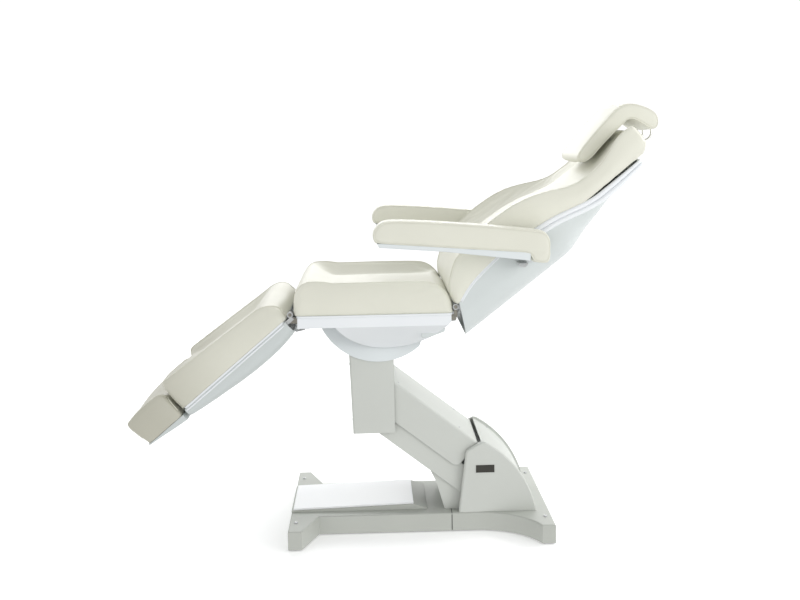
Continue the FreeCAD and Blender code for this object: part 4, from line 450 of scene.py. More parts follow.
# A brighter copy of the trim white: painted light on the ramp lid's top.
lid_lit_white = moulding("ramp_lid_plastic", (249, 250, 251), (244, 246, 248), rough=0.25, grain=700.0)
thread = painted("stitch_thread", (228, 227, 214), (210, 208, 192), rough=0.6, grain=2200.0, strength=0.5)
frame_paint = painted("frame_paint", (196, 198, 198), (176, 178, 178), rough=0.38, grain=1300.0, strength=0.2)
bright_steel = metal("bright_steel", (206, 208, 210), (160, 160, 158), rough=0.18, grain=1800.0, worn=0.6)
hinge_bronze = metal("hinge_bronze", (150, 147, 138), (94, 91, 84), rough=0.32, grain=1200.0, worn=1.1)
bail_chrome = metal("bail_chrome", (226, 226, 222), (188, 186, 180), rough=0.12, grain=1500.0, worn=0.5)
# The drive grey also paints the dark discs on the screw heads, as painted shade in their sockets.
drive_grey_and_socket_shade = painted("drive_plastic", (88, 90, 92), (72, 74, 76), rough=0.45, grain=1500.0, strength=0.3)
dark_plate = painted("dark_plate", (58, 57, 49), (44, 43, 37), rough=0.36, grain=1600.0, strength=0.25)
# Paint of the dark cord in the base cover seam: painted shadow of the joint.
dark_gasket = painted("dark_gasket", (70, 72, 72), (52, 54, 54), rough=0.5, grain=1400.0, strength=0.4)
foot_rubber = painted("foot_rubber", (46, 46, 46), (34, 34, 34), rough=0.62, grain=1200.0, strength=0.5)
floor_paint = painted("floor_paint", (250, 250, 250), (247, 247, 247), rough=0.7, grain=300.0, strength=0.05,
                      Emission_Color=(1.0, 1.0, 1.0, 1.0), Emission_Strength=0.26)

finishes = {
    shell_white: ["arm_base_left", "arm_base_right", "tilt_head_cover"],
    plinth_shaded_white: ["front_base_cover", "rear_base_cover", "ramp_body"],
    base_shaded_white: ["hood_cheek_left", "hood_cheek_right", "hood_apron", "lower_arm_cover", "upper_arm_cover",
                 "column_cover", "hood_back_cover"],
    # The seat pan takes the brighter trim white, as painted light against the shade under the trim's
    # overhang.
    trim_white_and_pan_light: ["seat_pan", "seat_trim", "leg_trim"],
    lid_lit_white: ["ramp_lid"],
    frame_paint: ["base_chassis", "pivot_brackets", "lower_link", "upper_link", "column_frame", "seat_frame",
                  "back_frame", "leg_frame", "seat_rear_block", "cover_screws"],
    bright_steel: ["rear_pivot_pins", "front_pivot_pins", "tilt_axles", "lift_rod", "tilt_rod", "back_rod",
                   "leg_rod", "foot_rails", "arm_pivot_pins"],
    hinge_bronze: ["leg_hinge_pins", "back_hinge_pins"],
    drive_grey_and_socket_shade: ["lift_actuator", "tilt_actuator", "back_actuator", "leg_actuator", "control_box"],
    dark_plate: ["badge_plate", "mains_inlet"],
    foot_rubber: ["foot_pads"],
}
for material, names in finishes.items():
    for name in names:
        nodes[name].data.materials.clear()
        nodes[name].data.materials.append(material)


# Soft pieces: rings across a cushion with side bolsters and a crowned middle between them
BOTTOM_STEPS = 8
SIDE_STEPS = 10
CORNER_STEPS = 8
SLOPE_STEPS = 10
CENTRE_STEPS = 9
END_STEPS = 9
RIDGE = BOTTOM_STEPS + SIDE_STEPS + CORNER_STEPS
INNER = RIDGE + SLOPE_STEPS
SEAM_FOOT = BOTTOM_STEPS + 4
PAD_HALF = 0.3035
PAD_FOOT = 0.0006
SWELL_START = 0.05
FOOT_SPREAD = 3.2
SLOPE_POWER = 0.85
LEAST_TOP = 0.012
LEAST_FLOOR = 0.010
CORNER_SHARE = 0.6
SINK_SHARE = 0.6
REST_HEIGHT = 0.006
STITCH_OFFSET = 0.006
LEAST_SPAN = 0.0001
STEPS_BACK = 3
Section = namedtuple("Section", "half low crest hollow inner corner bulge foot crown")


def bolstered(form):
    """Half a section from the middle of the underside to the middle of the top, then mirrored."""
    corner_y, corner_v = form.corner
    shoulder = form.crest - corner_v
    run = [((form.half - form.foot) * i / BOTTOM_STEPS, form.low) for i in range(BOTTOM_STEPS)]
    for i in range(SIDE_STEPS):
        t = i / SIDE_STEPS
        swell = math.sin(math.pi * mix(SWELL_START, 1.0, t)) * form.bulge
        inset = form.foot * (1 - ease(t * FOOT_SPREAD))
        run.append((form.half - inset + swell, mix(form.low, shoulder, t)))
    for turn in quarter(CORNER_STEPS)[:-1]:
        run.append((form.half - corner_y * (1 - math.cos(turn)), shoulder + corner_v * math.sin(turn)))
    for i, turn in enumerate(quarter(SLOPE_STEPS)[:-1]):
        y = mix(form.half - corner_y, form.inner, i / SLOPE_STEPS)
        run.append((y, mix(form.crest, form.hollow, math.sin(turn) ** SLOPE_POWER)))
    for i, turn in enumerate(quarter(CENTRE_STEPS)):
        run.append((form.inner * (1 - i / CENTRE_STEPS), form.hollow + form.crown * math.sin(turn)))
    return run + [(-y, v) for y, v in reversed(run[1:-1])]


def end_round(distance, reach):
    """How much of a rounded end's height is lost at a distance from it, from 1 to 0."""
    if distance >= reach:
        return 0.0
    return 1 - math.sqrt(max(0.0, 1 - (1 - distance / reach) ** 2))


def end_stations(start, end, first_reach, last_reach, middle):
    """Places along a pad, close together where its ends turn."""
    turns = quarter(END_STEPS)[:-1]
    inner_start = start + first_reach
    inner_end = end - last_reach
    places = [start + first_reach * (1 - math.cos(turn)) for turn in turns]
    places += [mix(inner_start, inner_end, i / middle) for i in range(middle + 1)]
    return places + [end - last_reach * (1 - math.cos(turn)) for turn in reversed(turns)]


class Pad:
    """A bolstered cushion: its form along the part, rings, mesh and seam lines.

    The first and last ends are each rounded over a reach and by a drop, and full is the same for the
    last end of the hollow.
    """

    closed = False

    def __init__(self, name, place, start, end, first, last, form, plan_round, bulges, middle=40, lean=None,
                 full=None):
        self.name = name
        self.place = place
        self.form = form
        self.rings = []
        full = full or (last[0], last[1] * SINK_SHARE)
        self.stations = end_stations(start, end, first[0], last[0], middle)
        for u in self.stations:
            given = form(u)
            from_start, from_end = abs(u - start), abs(u - end)
            near_start = end_round(from_start, first[0])
            near_end = end_round(from_end, last[0])
            drop = first[1] * near_start + last[1] * near_end
            sides = plan_round * (end_round(from_start, plan_round) + end_round(from_end, plan_round))
            top = max(given.crest - drop, given.low + LEAST_TOP)
            sink = first[1] * near_start * SINK_SHARE + full[1] * end_round(from_end, full[0])
            floor = max(given.hollow - sink, given.low + LEAST_FLOOR)
            corner = (given.corner[0], min(given.corner[1], (top - given.low) * CORNER_SHARE))
            ended = given._replace(half=given.half - sides, crest=top, hollow=floor, corner=corner)
            section = bolstered(ended)
            slant = lean(u) if lean else 0.0
            self.rings.append([place.point(u + slant * (v - given.low), y, v) for y, v in section])
        self.points, self.faces = loft_rings(self.rings, bulges)

    def edge_seam(self, side, sewn=False):
        """The line where a side panel meets the top, from the front's underside over to the rear's."""
        back_off = STITCH_OFFSET if sewn else 0.0

        def spot(ring, index):
            at = np.array(ring[-side * index])
            near = np.array(ring[-side * (index - STEPS_BACK)])
            span = np.linalg.norm(near - at)
            return tuple(at + (near - at) * min(back_off / max(span, LEAST_SPAN), 1.0))
        first = [spot(self.rings[0], k) for k in range(SEAM_FOOT, RIDGE)]
        last = [spot(self.rings[-1], k) for k in range(RIDGE - 1, SEAM_FOOT - 1, -1)]
        return first + [spot(ring, RIDGE) for ring in self.rings] + last

    def inner_seam(self, side, start, end):
        """The line at the foot of a bolster's inner slope."""
        return [ring[-side * INNER] for u, ring in zip(self.stations, self.rings) if start <= u <= end]

    def rests(self, point):
        """Whether a point is on the underside."""
        u, v = self.place.local(point[0], point[2])
        return v < self.form(u).low + REST_HEIGHT


# Measured lines of the cushions, each as u and v in its part's frame
SEAT_CREST = through([(-0.262, 0.128), (-0.215, 0.135), (-0.185, 0.137), (-0.13, 0.131), (0.03, 0.132),
                      (0.115, 0.131), (0.16, 0.128), (0.215, 0.120)])
BACK_CREST = through([(0.012, 0.060), (0.045, 0.085), (0.088, 0.114), (0.111, 0.120), (0.227, 0.137),
                      (0.300, 0.134), (0.374, 0.119), (0.438, 0.092), (0.478, 0.072), (0.525, 0.059),
                      (0.582, 0.057), (0.644, 0.072), (0.692, 0.088), (0.721, 0.090), (0.757, 0.084)])
BACK_SEAM = through([(0.000, -0.006), (0.015, 0.0045), (0.115, 0.0355), (0.235, 0.0445), (0.361, 0.0345),
                     (0.545, -0.0035), (0.697, -0.0055), (0.757, 0.026)])
FOOT_CREST = through([(0.442, 0.076), (0.470, 0.084), (0.520, 0.085), (0.560, 0.079), (0.600, 0.070)])
FOOT_FLOOR = through([(0.440, -0.0155), (0.560, -0.0155), (0.600, -0.0130)])
HINGE_CLEAR = 0.0105
SEAM_OVERLAP = 0.0030
TAPER = 0.040
TAPER_START = 0.361
TAPER_LENGTH = 0.336
BACK_HOLLOW = 0.050
BACK_BOLSTER = 0.098
HOLLOW_SHARE = 0.52
SEAT_FRONT = -0.258
BACK_TOP = 0.752
LEG_PAD_END = 0.438


def seat_form(u):
    crest = SEAT_CREST(u)
    filled = 1 - easing(u, start=-0.240, over=0.085)
    rear = easing(u, start=0.10, over=0.12)
    open_share = (1 - filled * 0.94) * (1 - rear * 0.3)
    return Section(half=PAD_HALF, low=0.0305, crest=crest, hollow=crest - 0.040 * open_share, inner=0.206,
                   corner=(0.020, 0.024), bulge=0.005, foot=PAD_FOOT, crown=0.014 * open_share)


def leg_form(u):
    crest = mix(0.074, 0.104, u / LEG_PAD_END)
    filled = 1 - easing(u, start=0.050, over=0.09)
    tail = easing(u, start=0.37, over=0.06)
    open_share = (1 - filled * 0.95) * (1 - tail * 0.35)
    return Section(half=PAD_HALF, low=-0.0022, crest=crest, hollow=crest - 0.032 * open_share, inner=0.212,
                   corner=(0.018, 0.020), bulge=0.005, foot=PAD_FOOT, crown=0.010 * open_share)


def foot_form(u):
    crest = FOOT_CREST(u)
    return Section(half=0.299, low=FOOT_FLOOR(u), crest=crest, hollow=crest - 0.006, inner=0.200,
                   corner=(0.016, 0.016), bulge=0.004, foot=PAD_FOOT, crown=0.004)


def tapered(u, half, most=1.0):
    """A half width of the back, which narrows towards its head end."""
    return half - TAPER * min(max((u - TAPER_START) / TAPER_LENGTH, 0.0), most)


def back_form(u):
    crest = BACK_CREST(u)
    over_hinge = math.sqrt(max(HINGE_CLEAR ** 2 - u * u, 0.0))
    low = max(BACK_SEAM(u) - SEAM_OVERLAP, over_hinge)
    half = tapered(u, PAD_HALF, most=1.1)
    filled_below = 1 - easing(u, start=0.05, over=0.12)
    filled_above = easing(u, start=0.40, over=0.16)
    open_share = 1 - min(filled_below * 0.85 + filled_above * 0.50, 0.95)
    deep = min(BACK_HOLLOW, (crest - low) * HOLLOW_SHARE) * open_share
    return Section(half=half, low=low, crest=crest, hollow=crest - deep, inner=half - BACK_BOLSTER,
                   corner=(0.015, 0.019), bulge=0.005, foot=PAD_FOOT, crown=0.012 * open_share)


def foot_lean(u):
    """The foot cushion's slant, which grows towards its end."""
    return 0.20 * easing(u, start=0.46, over=0.106)


seat_pad = Pad("seat_cushion_soft", seat_place, start=SEAT_FRONT, end=0.222,
               first=(0.048, 0.052), last=(0.080, 0.080),
               form=seat_form, plan_round=0.030, bulges=(0.006, 0.002), full=(0.045, 0.030))
leg_pad = Pad("leg_cushion_soft", leg_place, start=0.012, end=LEG_PAD_END,
              first=(0.060, 0.046), last=(0.022, 0.026),
              form=leg_form, plan_round=0.034, bulges=(0.004, 0.004))
foot_pad = Pad("foot_cushion_soft", foot_place, start=0.444, end=0.580,
               first=(0.020, 0.022), last=(0.008, 0.009),
               form=foot_form, plan_round=0.012, bulges=(0.003, 0.003), middle=16, lean=foot_lean)
back_pad = Pad("back_cushion_soft", back_place, start=0.0045, end=BACK_TOP,
               first=(0.036, 0.030), last=(0.010, 0.012),
               form=back_form, plan_round=0.022, bulges=(0.0025, 0.004), middle=60)


# Soft pieces with one outline across their width: the head pillow and the arm pads
PANEL = 0.003
PANEL_SWELL = 0.0010
OUTLINE_POINTS = 132
HALF_ROWS = 13
ROUNDING_STEPS = 8
WELT_ROW = 7
STITCH_ROW = 10
INSET_STEPS = 36
INSET_KEPT = 0.7
INSET_SHARED = 0.15
CURVE_STEPS = 24
ARM_REST = 0.003


def closed_curve(corners, count):
    """A smooth closed line through corners, evenly spaced."""
    corners = np.array(corners, float)
    total = len(corners)
    dense = []
    for i in range(total):
        before, start, end, after = (corners[(i + k) % total] for k in (-1, 0, 1, 2))
        for t in np.linspace(0, 1, CURVE_STEPS, endpoint=False):
            squared = (2 * before - 5 * start + 4 * end - after) * t * t
            cubed = (3 * start - before - 3 * end + after) * t ** 3
            dense.append(0.5 * (2 * start + (end - before) * t + squared + cubed))
    dense = np.array(dense + [dense[0]])
    lengths = lengths_along(dense)
    spots = np.linspace(0, lengths[-1], count, endpoint=False)
    return np.stack([np.interp(spots, lengths, dense[:, k]) for k in (0, 1)], axis=1)


def inward(line):
    """Unit directions into a closed line, at each of its points."""
    tangent = np.roll(line, -1, axis=0) - np.roll(line, 1, axis=0)
    tangent /= np.linalg.norm(tangent, axis=1)[:, None]
    normal = np.stack([-tangent[:, 1], tangent[:, 0]], axis=1)
    area = np.sum(line[:, 0] * np.roll(line[:, 1], -1) - line[:, 1] * np.roll(line[:, 0], -1))
    return normal if area > 0 else -normal


def insets(line, depth):
    """The line moved inwards in small steps, eased at each so that tight corners never fold."""
    lines = [line]
    current = line
    for step in range(INSET_STEPS):
        current = current + inward(current) * depth / INSET_STEPS
        neighbours = np.roll(current, 1, axis=0) + np.roll(current, -1, axis=0)
        current = current * INSET_KEPT + neighbours * INSET_SHARED
        lines.append(current)

    def at(inset):
        if inset <= 0:
            return line + inward(line) * inset
        spot = min(inset / depth, 1.0) * INSET_STEPS
        low = min(int(spot), INSET_STEPS - 1)
        return lines[low] + (lines[low + 1] - lines[low]) * (spot - low)
    return at


class OutlinedPad:
    """A pad with the same outline all across, rounded where it turns into its two side panels."""

    closed = True

    def __init__(self, name, place, corners, sides, rounding, crown, fit=None, rest_height=-math.inf):
        self.name = name
        self.place = place
        self.rest_height = rest_height
        moved = insets(closed_curve(corners, OUTLINE_POINTS), rounding + PANEL)
        low, high = sides
        middle = (low + high) / 2
        rows = [(low - PANEL_SWELL, rounding + PANEL), (low - PANEL_SWELL * 0.6, rounding + PANEL / 2)]
        for turn in quarter(ROUNDING_STEPS):
            rows.append((low + rounding * (1 - math.cos(turn)), rounding * (1 - math.sin(turn))))
        level = crown * math.sin(rounding / (high - low) * math.pi)
        for i in range(1, HALF_ROWS):
            y = mix(low + rounding, middle, i / HALF_ROWS)
            rows.append((y, level - crown * math.sin((y - low) / (high - low) * math.pi)))
        rows.append((middle, level - crown))
        rows = rows + [(low + high - y, inset) for y, inset in reversed(rows[:-1])]
        self.rings = []
        for y, inset in rows:
            ring = moved(inset)
            if fit:
                ring = fit(ring, y)
            self.rings.append([place.point(u, y, v) for u, v in ring])
        self.points = [p for ring in self.rings for p in ring]
        self.faces = capped(len(self.rings), OUTLINE_POINTS)

    def edge_seam(self, side, sewn=False):
        """The closed line where a side panel meets the wrap."""
        row = STITCH_ROW if sewn else WELT_ROW
        return self.rings[row if side < 0 else -1 - row]

    def rests(self, point):
        """Whether a point lies on what carries the pad."""
        return self.place.local(point[0], point[2])[1] < self.rest_height


PILLOW_OUTLINE = [
    (0.574, 0.104), (0.570, 0.090), (0.580, 0.075), (0.607, 0.071), (0.674, 0.082), (0.742, 0.090),
    (0.768, 0.092), (0.780, 0.080), (0.792, 0.052), (0.802, 0.027), (0.819, 0.016), (0.839, 0.032),
    (0.845, 0.056), (0.835, 0.086), (0.813, 0.118), (0.790, 0.136), (0.765, 0.143), (0.729, 0.140),
    (0.663, 0.129), (0.600, 0.115)]
ARM_OUTLINE = [
    (-0.036, -0.009), (-0.040, 0.010), (-0.040, 0.040), (-0.036, 0.062), (-0.020, 0.078), (0.020, 0.083),
    (0.150, 0.087), (0.300, 0.088), (0.410, 0.085), (0.448, 0.078), (0.466, 0.060), (0.472, 0.040),
    (0.468, 0.024), (0.450, 0.0168), (0.300, 0.0160), (0.150, 0.0160), (0.035, 0.0160), (0.016, 0.014),
    (0.012, 0.006), (0.012, -0.002), (0.006, -0.0095), (-0.016, -0.010)]
ARM_SEAM = 0.0175
ARM_SIDES = (0.328, 0.423)
PIVOT_REACH = 0.344
PIVOT_EASE = 0.012


def arm_fit(ring, y):
    """Lifts the pad's hanging rear end clear of the pivot on the inner side."""
    share = ease((abs(y) - PIVOT_REACH) / PIVOT_EASE)
    fitted = ring.copy()
    below = fitted[:, 1] < ARM_SEAM
    fitted[below, 1] = ARM_SEAM + (fitted[below, 1] - ARM_SEAM) * share
    return fitted


pillow_pad = OutlinedPad("pillow_cushion_soft", back_place, PILLOW_OUTLINE, sides=(-0.150, 0.150),
                         rounding=0.009, crown=0.004)
arm_pads = []
for side, name in zip(SIDES, ("left", "right")):
    edges = sorted(side * y for y in ARM_SIDES)
    arm_pads.append(OutlinedPad(f"arm_pad_{name}_soft", arm_place, ARM_OUTLINE, edges, rounding=0.010,
                                crown=0.003, fit=arm_fit, rest_height=ARM_SEAM + ARM_REST))


# Geometry Nodes for what repeats or follows a line
class Tree(Wiring):
    """A Geometry Nodes tree on lines, with named sizes."""

    def __init__(self, name, **sizes):
        super().__init__(bpy.data.node_groups.new(name, "GeometryNodeTree"))
        sockets = self.tree.interface
        sockets.new_socket("Lines", in_out="INPUT", socket_type="NodeSocketGeometry")
        sockets.new_socket("Made", in_out="OUTPUT", socket_type="NodeSocketGeometry")
        self.identifiers = {}
        for key, value in sizes.items():
            socket = sockets.new_socket(key.replace("_", " "), in_out="INPUT", socket_type="NodeSocketFloat")
            socket.default_value = value
            self.identifiers[key] = socket.identifier
        lines = self.node("NodeGroupInput", outlet="Lines")
        self.sizes = {key: lines.beside(key.replace("_", " ")) for key in sizes}
        self.curve = self.node("GeometryNodeMeshToCurve", None, {"Mesh": lines})

    def repeated(self, points, form):
        """A form at each point, turned along its line."""
        return self.node("GeometryNodeInstanceOnPoints", None, {
            "Points": points, "Instance": form, "Rotation": points.beside("Rotation")})

    def finish(self, geometry, material, smooth=True):
        shaded = self.node("GeometryNodeSetShadeSmooth", None, {"Geometry": geometry, "Shade Smooth": smooth})
        real = self.node("GeometryNodeRealizeInstances", None, {"Geometry": shaded})
        coloured = self.node("GeometryNodeSetMaterial", None, {"Geometry": real, "Material": material})
        output = self.tree.nodes.new("NodeGroupOutput")
        self.feed(output.inputs["Made"], coloured)
        return self

    def make(self, name, source, **sizes):
        """The tree's result on a source object, as a plain mesh in its place."""
        modifier = source.modifiers.new("made", "NODES")
        modifier.node_group = self.tree
        for key, value in sizes.items():
            modifier[self.identifiers[key]] = value
        return baked(source, name)


def piping_tree(material):
    """A round cord along lines."""
    tree = Tree("piping", Cord_radius=0.0016)
    even = tree.node("GeometryNodeResampleCurve", {"mode": "LENGTH"}, {"Curve": tree.curve, "Length": 0.007})
    profile = tree.node("GeometryNodeCurvePrimitiveCircle", None, {
        "Resolution": 8, "Radius": tree.sizes["Cord_radius"]})
    cord = tree.node("GeometryNodeCurveToMesh", None, {
        "Curve": even, "Profile Curve": profile, "Fill Caps": True})
    return tree.finish(cord, material)


def stitching_tree(material):
    """Short raised stitches along lines."""
    tree = Tree("stitching", Stitch_pitch=0.0065, Stitch_length=0.0046, Thread_width=0.0011)
    points = tree.node("GeometryNodeCurveToPoints", {"mode": "LENGTH"}, {
        "Curve": tree.curve, "Length": tree.sizes["Stitch_pitch"]})
    bead = tree.node("GeometryNodeMeshUVSphere", None, {"Segments": 6, "Rings": 4, "Radius": 0.5})
    width, length = tree.sizes["Thread_width"], tree.sizes["Stitch_length"]
    scale = tree.node("ShaderNodeCombineXYZ", None, {"X": width, "Y": width, "Z": length})
    stitch = tree.node("GeometryNodeTransform", None, {"Geometry": bead, "Scale": scale})
    return tree.finish(tree.repeated(points, stitch), material)


def screw_tree(name, material, sides, **sizes):
    """A round or six-sided head at the start of each short line, pointing along it."""
    tree = Tree(name, **sizes)
    points = tree.node("GeometryNodeCurveToPoints", {"mode": "COUNT"}, {"Curve": tree.curve, "Count": 1})
    head = tree.node("GeometryNodeMeshCone", None, {
        "Vertices": sides, "Radius Top": tree.sizes["Top_radius"], "Radius Bottom": tree.sizes["Foot_radius"],
        "Depth": tree.sizes["Head_height"]})
    return tree.finish(tree.repeated(points, head), material, False)


HEAD_SIZES = {"Foot_radius": 0.0052, "Top_radius": 0.0042, "Head_height": 0.0018}
SOCKET_SIZES = {"Foot_radius": 0.0021, "Top_radius": 0.0021, "Head_height": 0.0019}
piping = piping_tree(ivory)
stitching = stitching_tree(thread)
# A dark cord for the base cover seam, as painted shadow of the joint.
seam_shadow_cord = piping_tree(dark_gasket)
screw_heads = screw_tree("screw_heads", bright_steel, 20, **HEAD_SIZES)
# Dark six-sided discs on the screw heads, as painted shade in their sockets.
screw_sockets = screw_tree("screw_sockets", drive_grey_and_socket_shade, 6, **SOCKET_SIZES)


# Cloth: each cover is blown tight between its seams
VOXEL = 0.006
COVER_SHRINK = 0.0020
COVER_CAP = 0.0055
SEAM_HOLD = 0.007
SIM_FRAMES = 12
LEAST_SHIFT = 0.000001
CLOTH = {
    "quality": 3, "mass": 0.3, "tension_stiffness": 25.0, "compression_stiffness": 25.0,
    "shear_stiffness": 10.0, "bending_stiffness": 1.5, "use_pressure": True, "uniform_pressure_force": 4.0,
    "vertex_group_mass": "held"}


def seam_finder(seams):
    """A search tree of the points of all seams."""
    spots = [point for line in seams for point in line]
    finder = KDTree(len(spots))
    for i, point in enumerate(spots):
        finder.insert(point, i)
    finder.balance()
    return finder


def rows_of(mesh, key):
    """A vector of every vertex, one in each row."""
    values = np.empty(len(mesh.vertices) * 3)
    mesh.vertices.foreach_get(key, values)
    return values.reshape(-1, 3)


def blown(pad, finder):
    """The pad's cover after a short cloth simulation, held at its seams and where it rests."""
    rough = new_piece("cover_start", pad.points, pad.faces, ivory)
    even = rough.modifiers.new("even", "REMESH")
    even.mode = "VOXEL"
    even.voxel_size = VOXEL
    cover = baked(rough, "cover")
    mesh = cover.data
    start = rows_of(mesh, "co")
    drawn_in = np.array([0.0 if pad.rests(point) else COVER_SHRINK for point in start])
    start = start - rows_of(mesh, "normal") * drawn_in[:, None]
    mesh.vertices.foreach_set("co", start.ravel())
    held = cover.vertex_groups.new(name="held")
    fixed = [i for i, point in enumerate(start) if pad.rests(point) or finder.find(point)[2] < SEAM_HOLD]
    held.add(fixed, 1.0, "REPLACE")
    cloth = cover.modifiers.new("cloth", "CLOTH")
    for key, value in CLOTH.items():
        setattr(cloth.settings, key, value)
    cloth.settings.effector_weights.gravity = 0.0
    cloth.collision_settings.use_collision = False
    cloth.point_cache.frame_start = 1
    cloth.point_cache.frame_end = SIM_FRAMES
    scene = bpy.context.scene
    for moment in range(1, SIM_FRAMES + 1):
        scene.frame_set(moment)
    graph = bpy.context.evaluated_depsgraph_get()
    shift = rows_of(cover.evaluated_get(graph).to_mesh(), "co") - start
    cover.evaluated_get(graph).to_mesh_clear()
    length = np.linalg.norm(shift, axis=1)
    kept = np.minimum(length, COVER_CAP) / np.maximum(length, LEAST_SHIFT)
    cover.modifiers.remove(cloth)
    cover.vertex_groups.clear()
    mesh.vertices.foreach_set("co", (start + shift * kept[:, None]).ravel())
    mesh.update()
    scene.frame_set(1)
    finer = cover.modifiers.new("finer", "SUBSURF")
    finer.levels = 1
    finer.render_levels = 1
    return baked(cover, pad.name)


# Upholstery: each padded piece with its piping and stitches
# How strong and how wide the painted shade beside the seams is.
SEAM_SHADE_SHARE = 0.5
SEAM_SHADE_REACH = 0.0042
WELT_RADIUS = 0.0017
WELT_LIFT = 0.0002
STITCH_LIFT = 0.0003
SOFT_FILL = 0.8
ARM_FILL = 0.85
SEAT_KEEP = 0.958
BACK_KEEP = 0.972


def shade_tucks(piece, finder, added_shade):
    """Writes painted shade on each point: darker close to a seam, plus any shade given for the whole piece.
    """
    tuck = piece.data.attributes.new("tuck", "FLOAT", "POINT")
    shares = []
    for vertex in piece.data.vertices:
        nearness = math.exp(-(finder.find(vertex.co)[2] / SEAM_SHADE_REACH) ** 2)
        shares.append(added_shade(vertex.co) + SEAM_SHADE_SHARE * nearness)
    tuck.data.foreach_set("value", np.array(shares, np.float32))


def laid_on(surface, line, lift):
    """A line moved onto a surface and a little off it."""
    laid = []
    for point in line:
        spot, normal, face, distance = surface.find_nearest(Vector(point))
        laid.append(tuple(spot + normal * lift))
    return laid


def upholster(pad, body, node, fill, inner_run, added_shade, fold):
    """One padded piece with its piping and stitches."""
    welts = [evenly(pad.edge_seam(side), pad.closed) for side in SIDES]
    sewn = [evenly(pad.edge_seam(side, True), pad.closed) for side in SIDES]
    if inner_run:
        sewn += [evenly(pad.inner_seam(side, *inner_run), pad.closed) for side in SIDES]
    finder = seam_finder(welts)
    piece = blown(pad, finder)
    skinned(piece.data, ivory)
    shade_tucks(piece, finder, added_shade)
    surface = surface_of(piece.data)
    cords = line_object("welt_lines", [laid_on(surface, line, WELT_LIFT) for line in welts], pad.closed)
    welt = piping.make(pad.name.replace("soft", "piping"), cords, Cord_radius=WELT_RADIUS)
    rows = line_object("sewn_lines", [laid_on(surface, line, STITCH_LIFT) for line in sewn], pad.closed)
    stitches = stitching.make(pad.name.replace("soft", "stitches"), rows)
    attach(piece, body, node)
    attach(welt, body)
    attach(stitches, body)
    if fold:
        for part in (piece, welt, stitches):
            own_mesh(part)


# No painted shade beyond what the seams give.
def no_added_shade(point):
    return 0.0


def foot_end_shade(point):
    """Painted shade: the leg rest darkens towards the foot end, which gets less light."""
    u, v = leg_place.local(point[0], point[2])
    return 0.15 + 0.75 * easing(u, start=0.20, over=0.36)


# The seat and the back get their own copies of their meshes; the hinge lines and shares listed for them are
# not otherwise used
back_along = (back_place.along[0], 0.0, back_place.along[1])
seat_fold = ((1.0, 0.0, 0.0), seat_place.point(SEAT_FRONT, 0.0, 0.03), SEAT_KEEP)
back_fold = (back_along, back_place.point(BACK_TOP, 0.0, 0.0), BACK_KEEP)
for upholstery in (
        (seat_pad, "seat", "seat_cushion", SOFT_FILL, (-0.16, 0.175), no_added_shade, seat_fold),
        (leg_pad, "leg", "leg_cushion", SOFT_FILL, (0.13, 0.40), foot_end_shade, None),
        (foot_pad, "foot", "foot_cushion", SOFT_FILL, None, foot_end_shade, None),
        (back_pad, "back", "back_cushion", SOFT_FILL, (0.14, 0.60), no_added_shade, back_fold),
        (pillow_pad, "pillow", "pillow_cushion", SOFT_FILL, None, no_added_shade, None),
        (arm_pads[0], "arm_left", "arm_pad_left", ARM_FILL, None, no_added_shade, None),
        (arm_pads[1], "arm_right", "arm_pad_right", ARM_FILL, None, no_added_shade, None)):
    upholster(*upholstery)


# Shells of the back and the leg rest, each a thin dish that is open at its hinge end and on top
BACK_KEEL = through([(-0.032, -0.0985), (0.364, -0.0992), (0.400, -0.0920), (0.470, -0.0690),
                     (0.585, -0.0375), (0.640, -0.031), (0.700, -0.028)])
LEG_KEEL = through([(0.024, -0.0490), (0.050, -0.0548), (0.114, -0.0615), (0.162, -0.0620), (0.242, -0.0580),
                    (0.296, -0.0522), (0.351, -0.0462), (0.398, -0.0398), (0.430, -0.0345)])
BACK_HEEL = -0.032
BACK_START = 0.015
BACK_END = 0.697
LEG_START = 0.024
LEG_END = 0.425
LEG_RIM = -0.0062
SHELL_HALF = 0.300
SHELL_WALL = 0.004
SHELL_STATIONS = 64
END_TURN = 0.010
RIM_DROP = 0.001
BACK_SIDE_ACROSS = 0.100
BACK_SIDE_RISE = 0.078
LEG_SIDE_ACROSS = 0.044
LEG_RISE_SHARE = 0.62
RAIL_ACROSS = 0.1525
RAIL_DEPTH = -0.022
RAIL_HOLE = 0.0090


def dish_section(half, low, top, across, rise):
    """A dish's section from one edge under to the other, with rounded sides."""
    run = [((half - across) * i / 8, low) for i in range(8)]
    for turn in quarter(14):
        run.append((half - across * (1 - math.sin(turn)), low + rise * (1 - math.cos(turn))))
    run = run + [(half, mix(low + rise, top, i / 5)) for i in range(1, 6)]
    return [(-y, v) for y, v in reversed(run[1:])] + run


def dish(name, ring, material):
    """A dish through rings, drawn in where its far end turns."""
    rings = [ring(i / SHELL_STATIONS) for i in range(SHELL_STATIONS + 1)]
    for turn in quarter(5)[1:]:
        rings.append(ring(1.0, END_TURN * (1 - math.cos(turn)), END_TURN * 0.5 * math.sin(turn)))
    count = len(rings[0])
    last = (len(rings) - 1) * count
    points = [p for section in rings for p in section]
    faces = strips(len(rings), count, closed=False) + [tuple(range(last, last + count))]
    made = new_piece(name, points, faces, material)
    wall = made.modifiers.new("wall", "SOLIDIFY")
    wall.thickness = SHELL_WALL
    wall.offset = -1.0
    return made


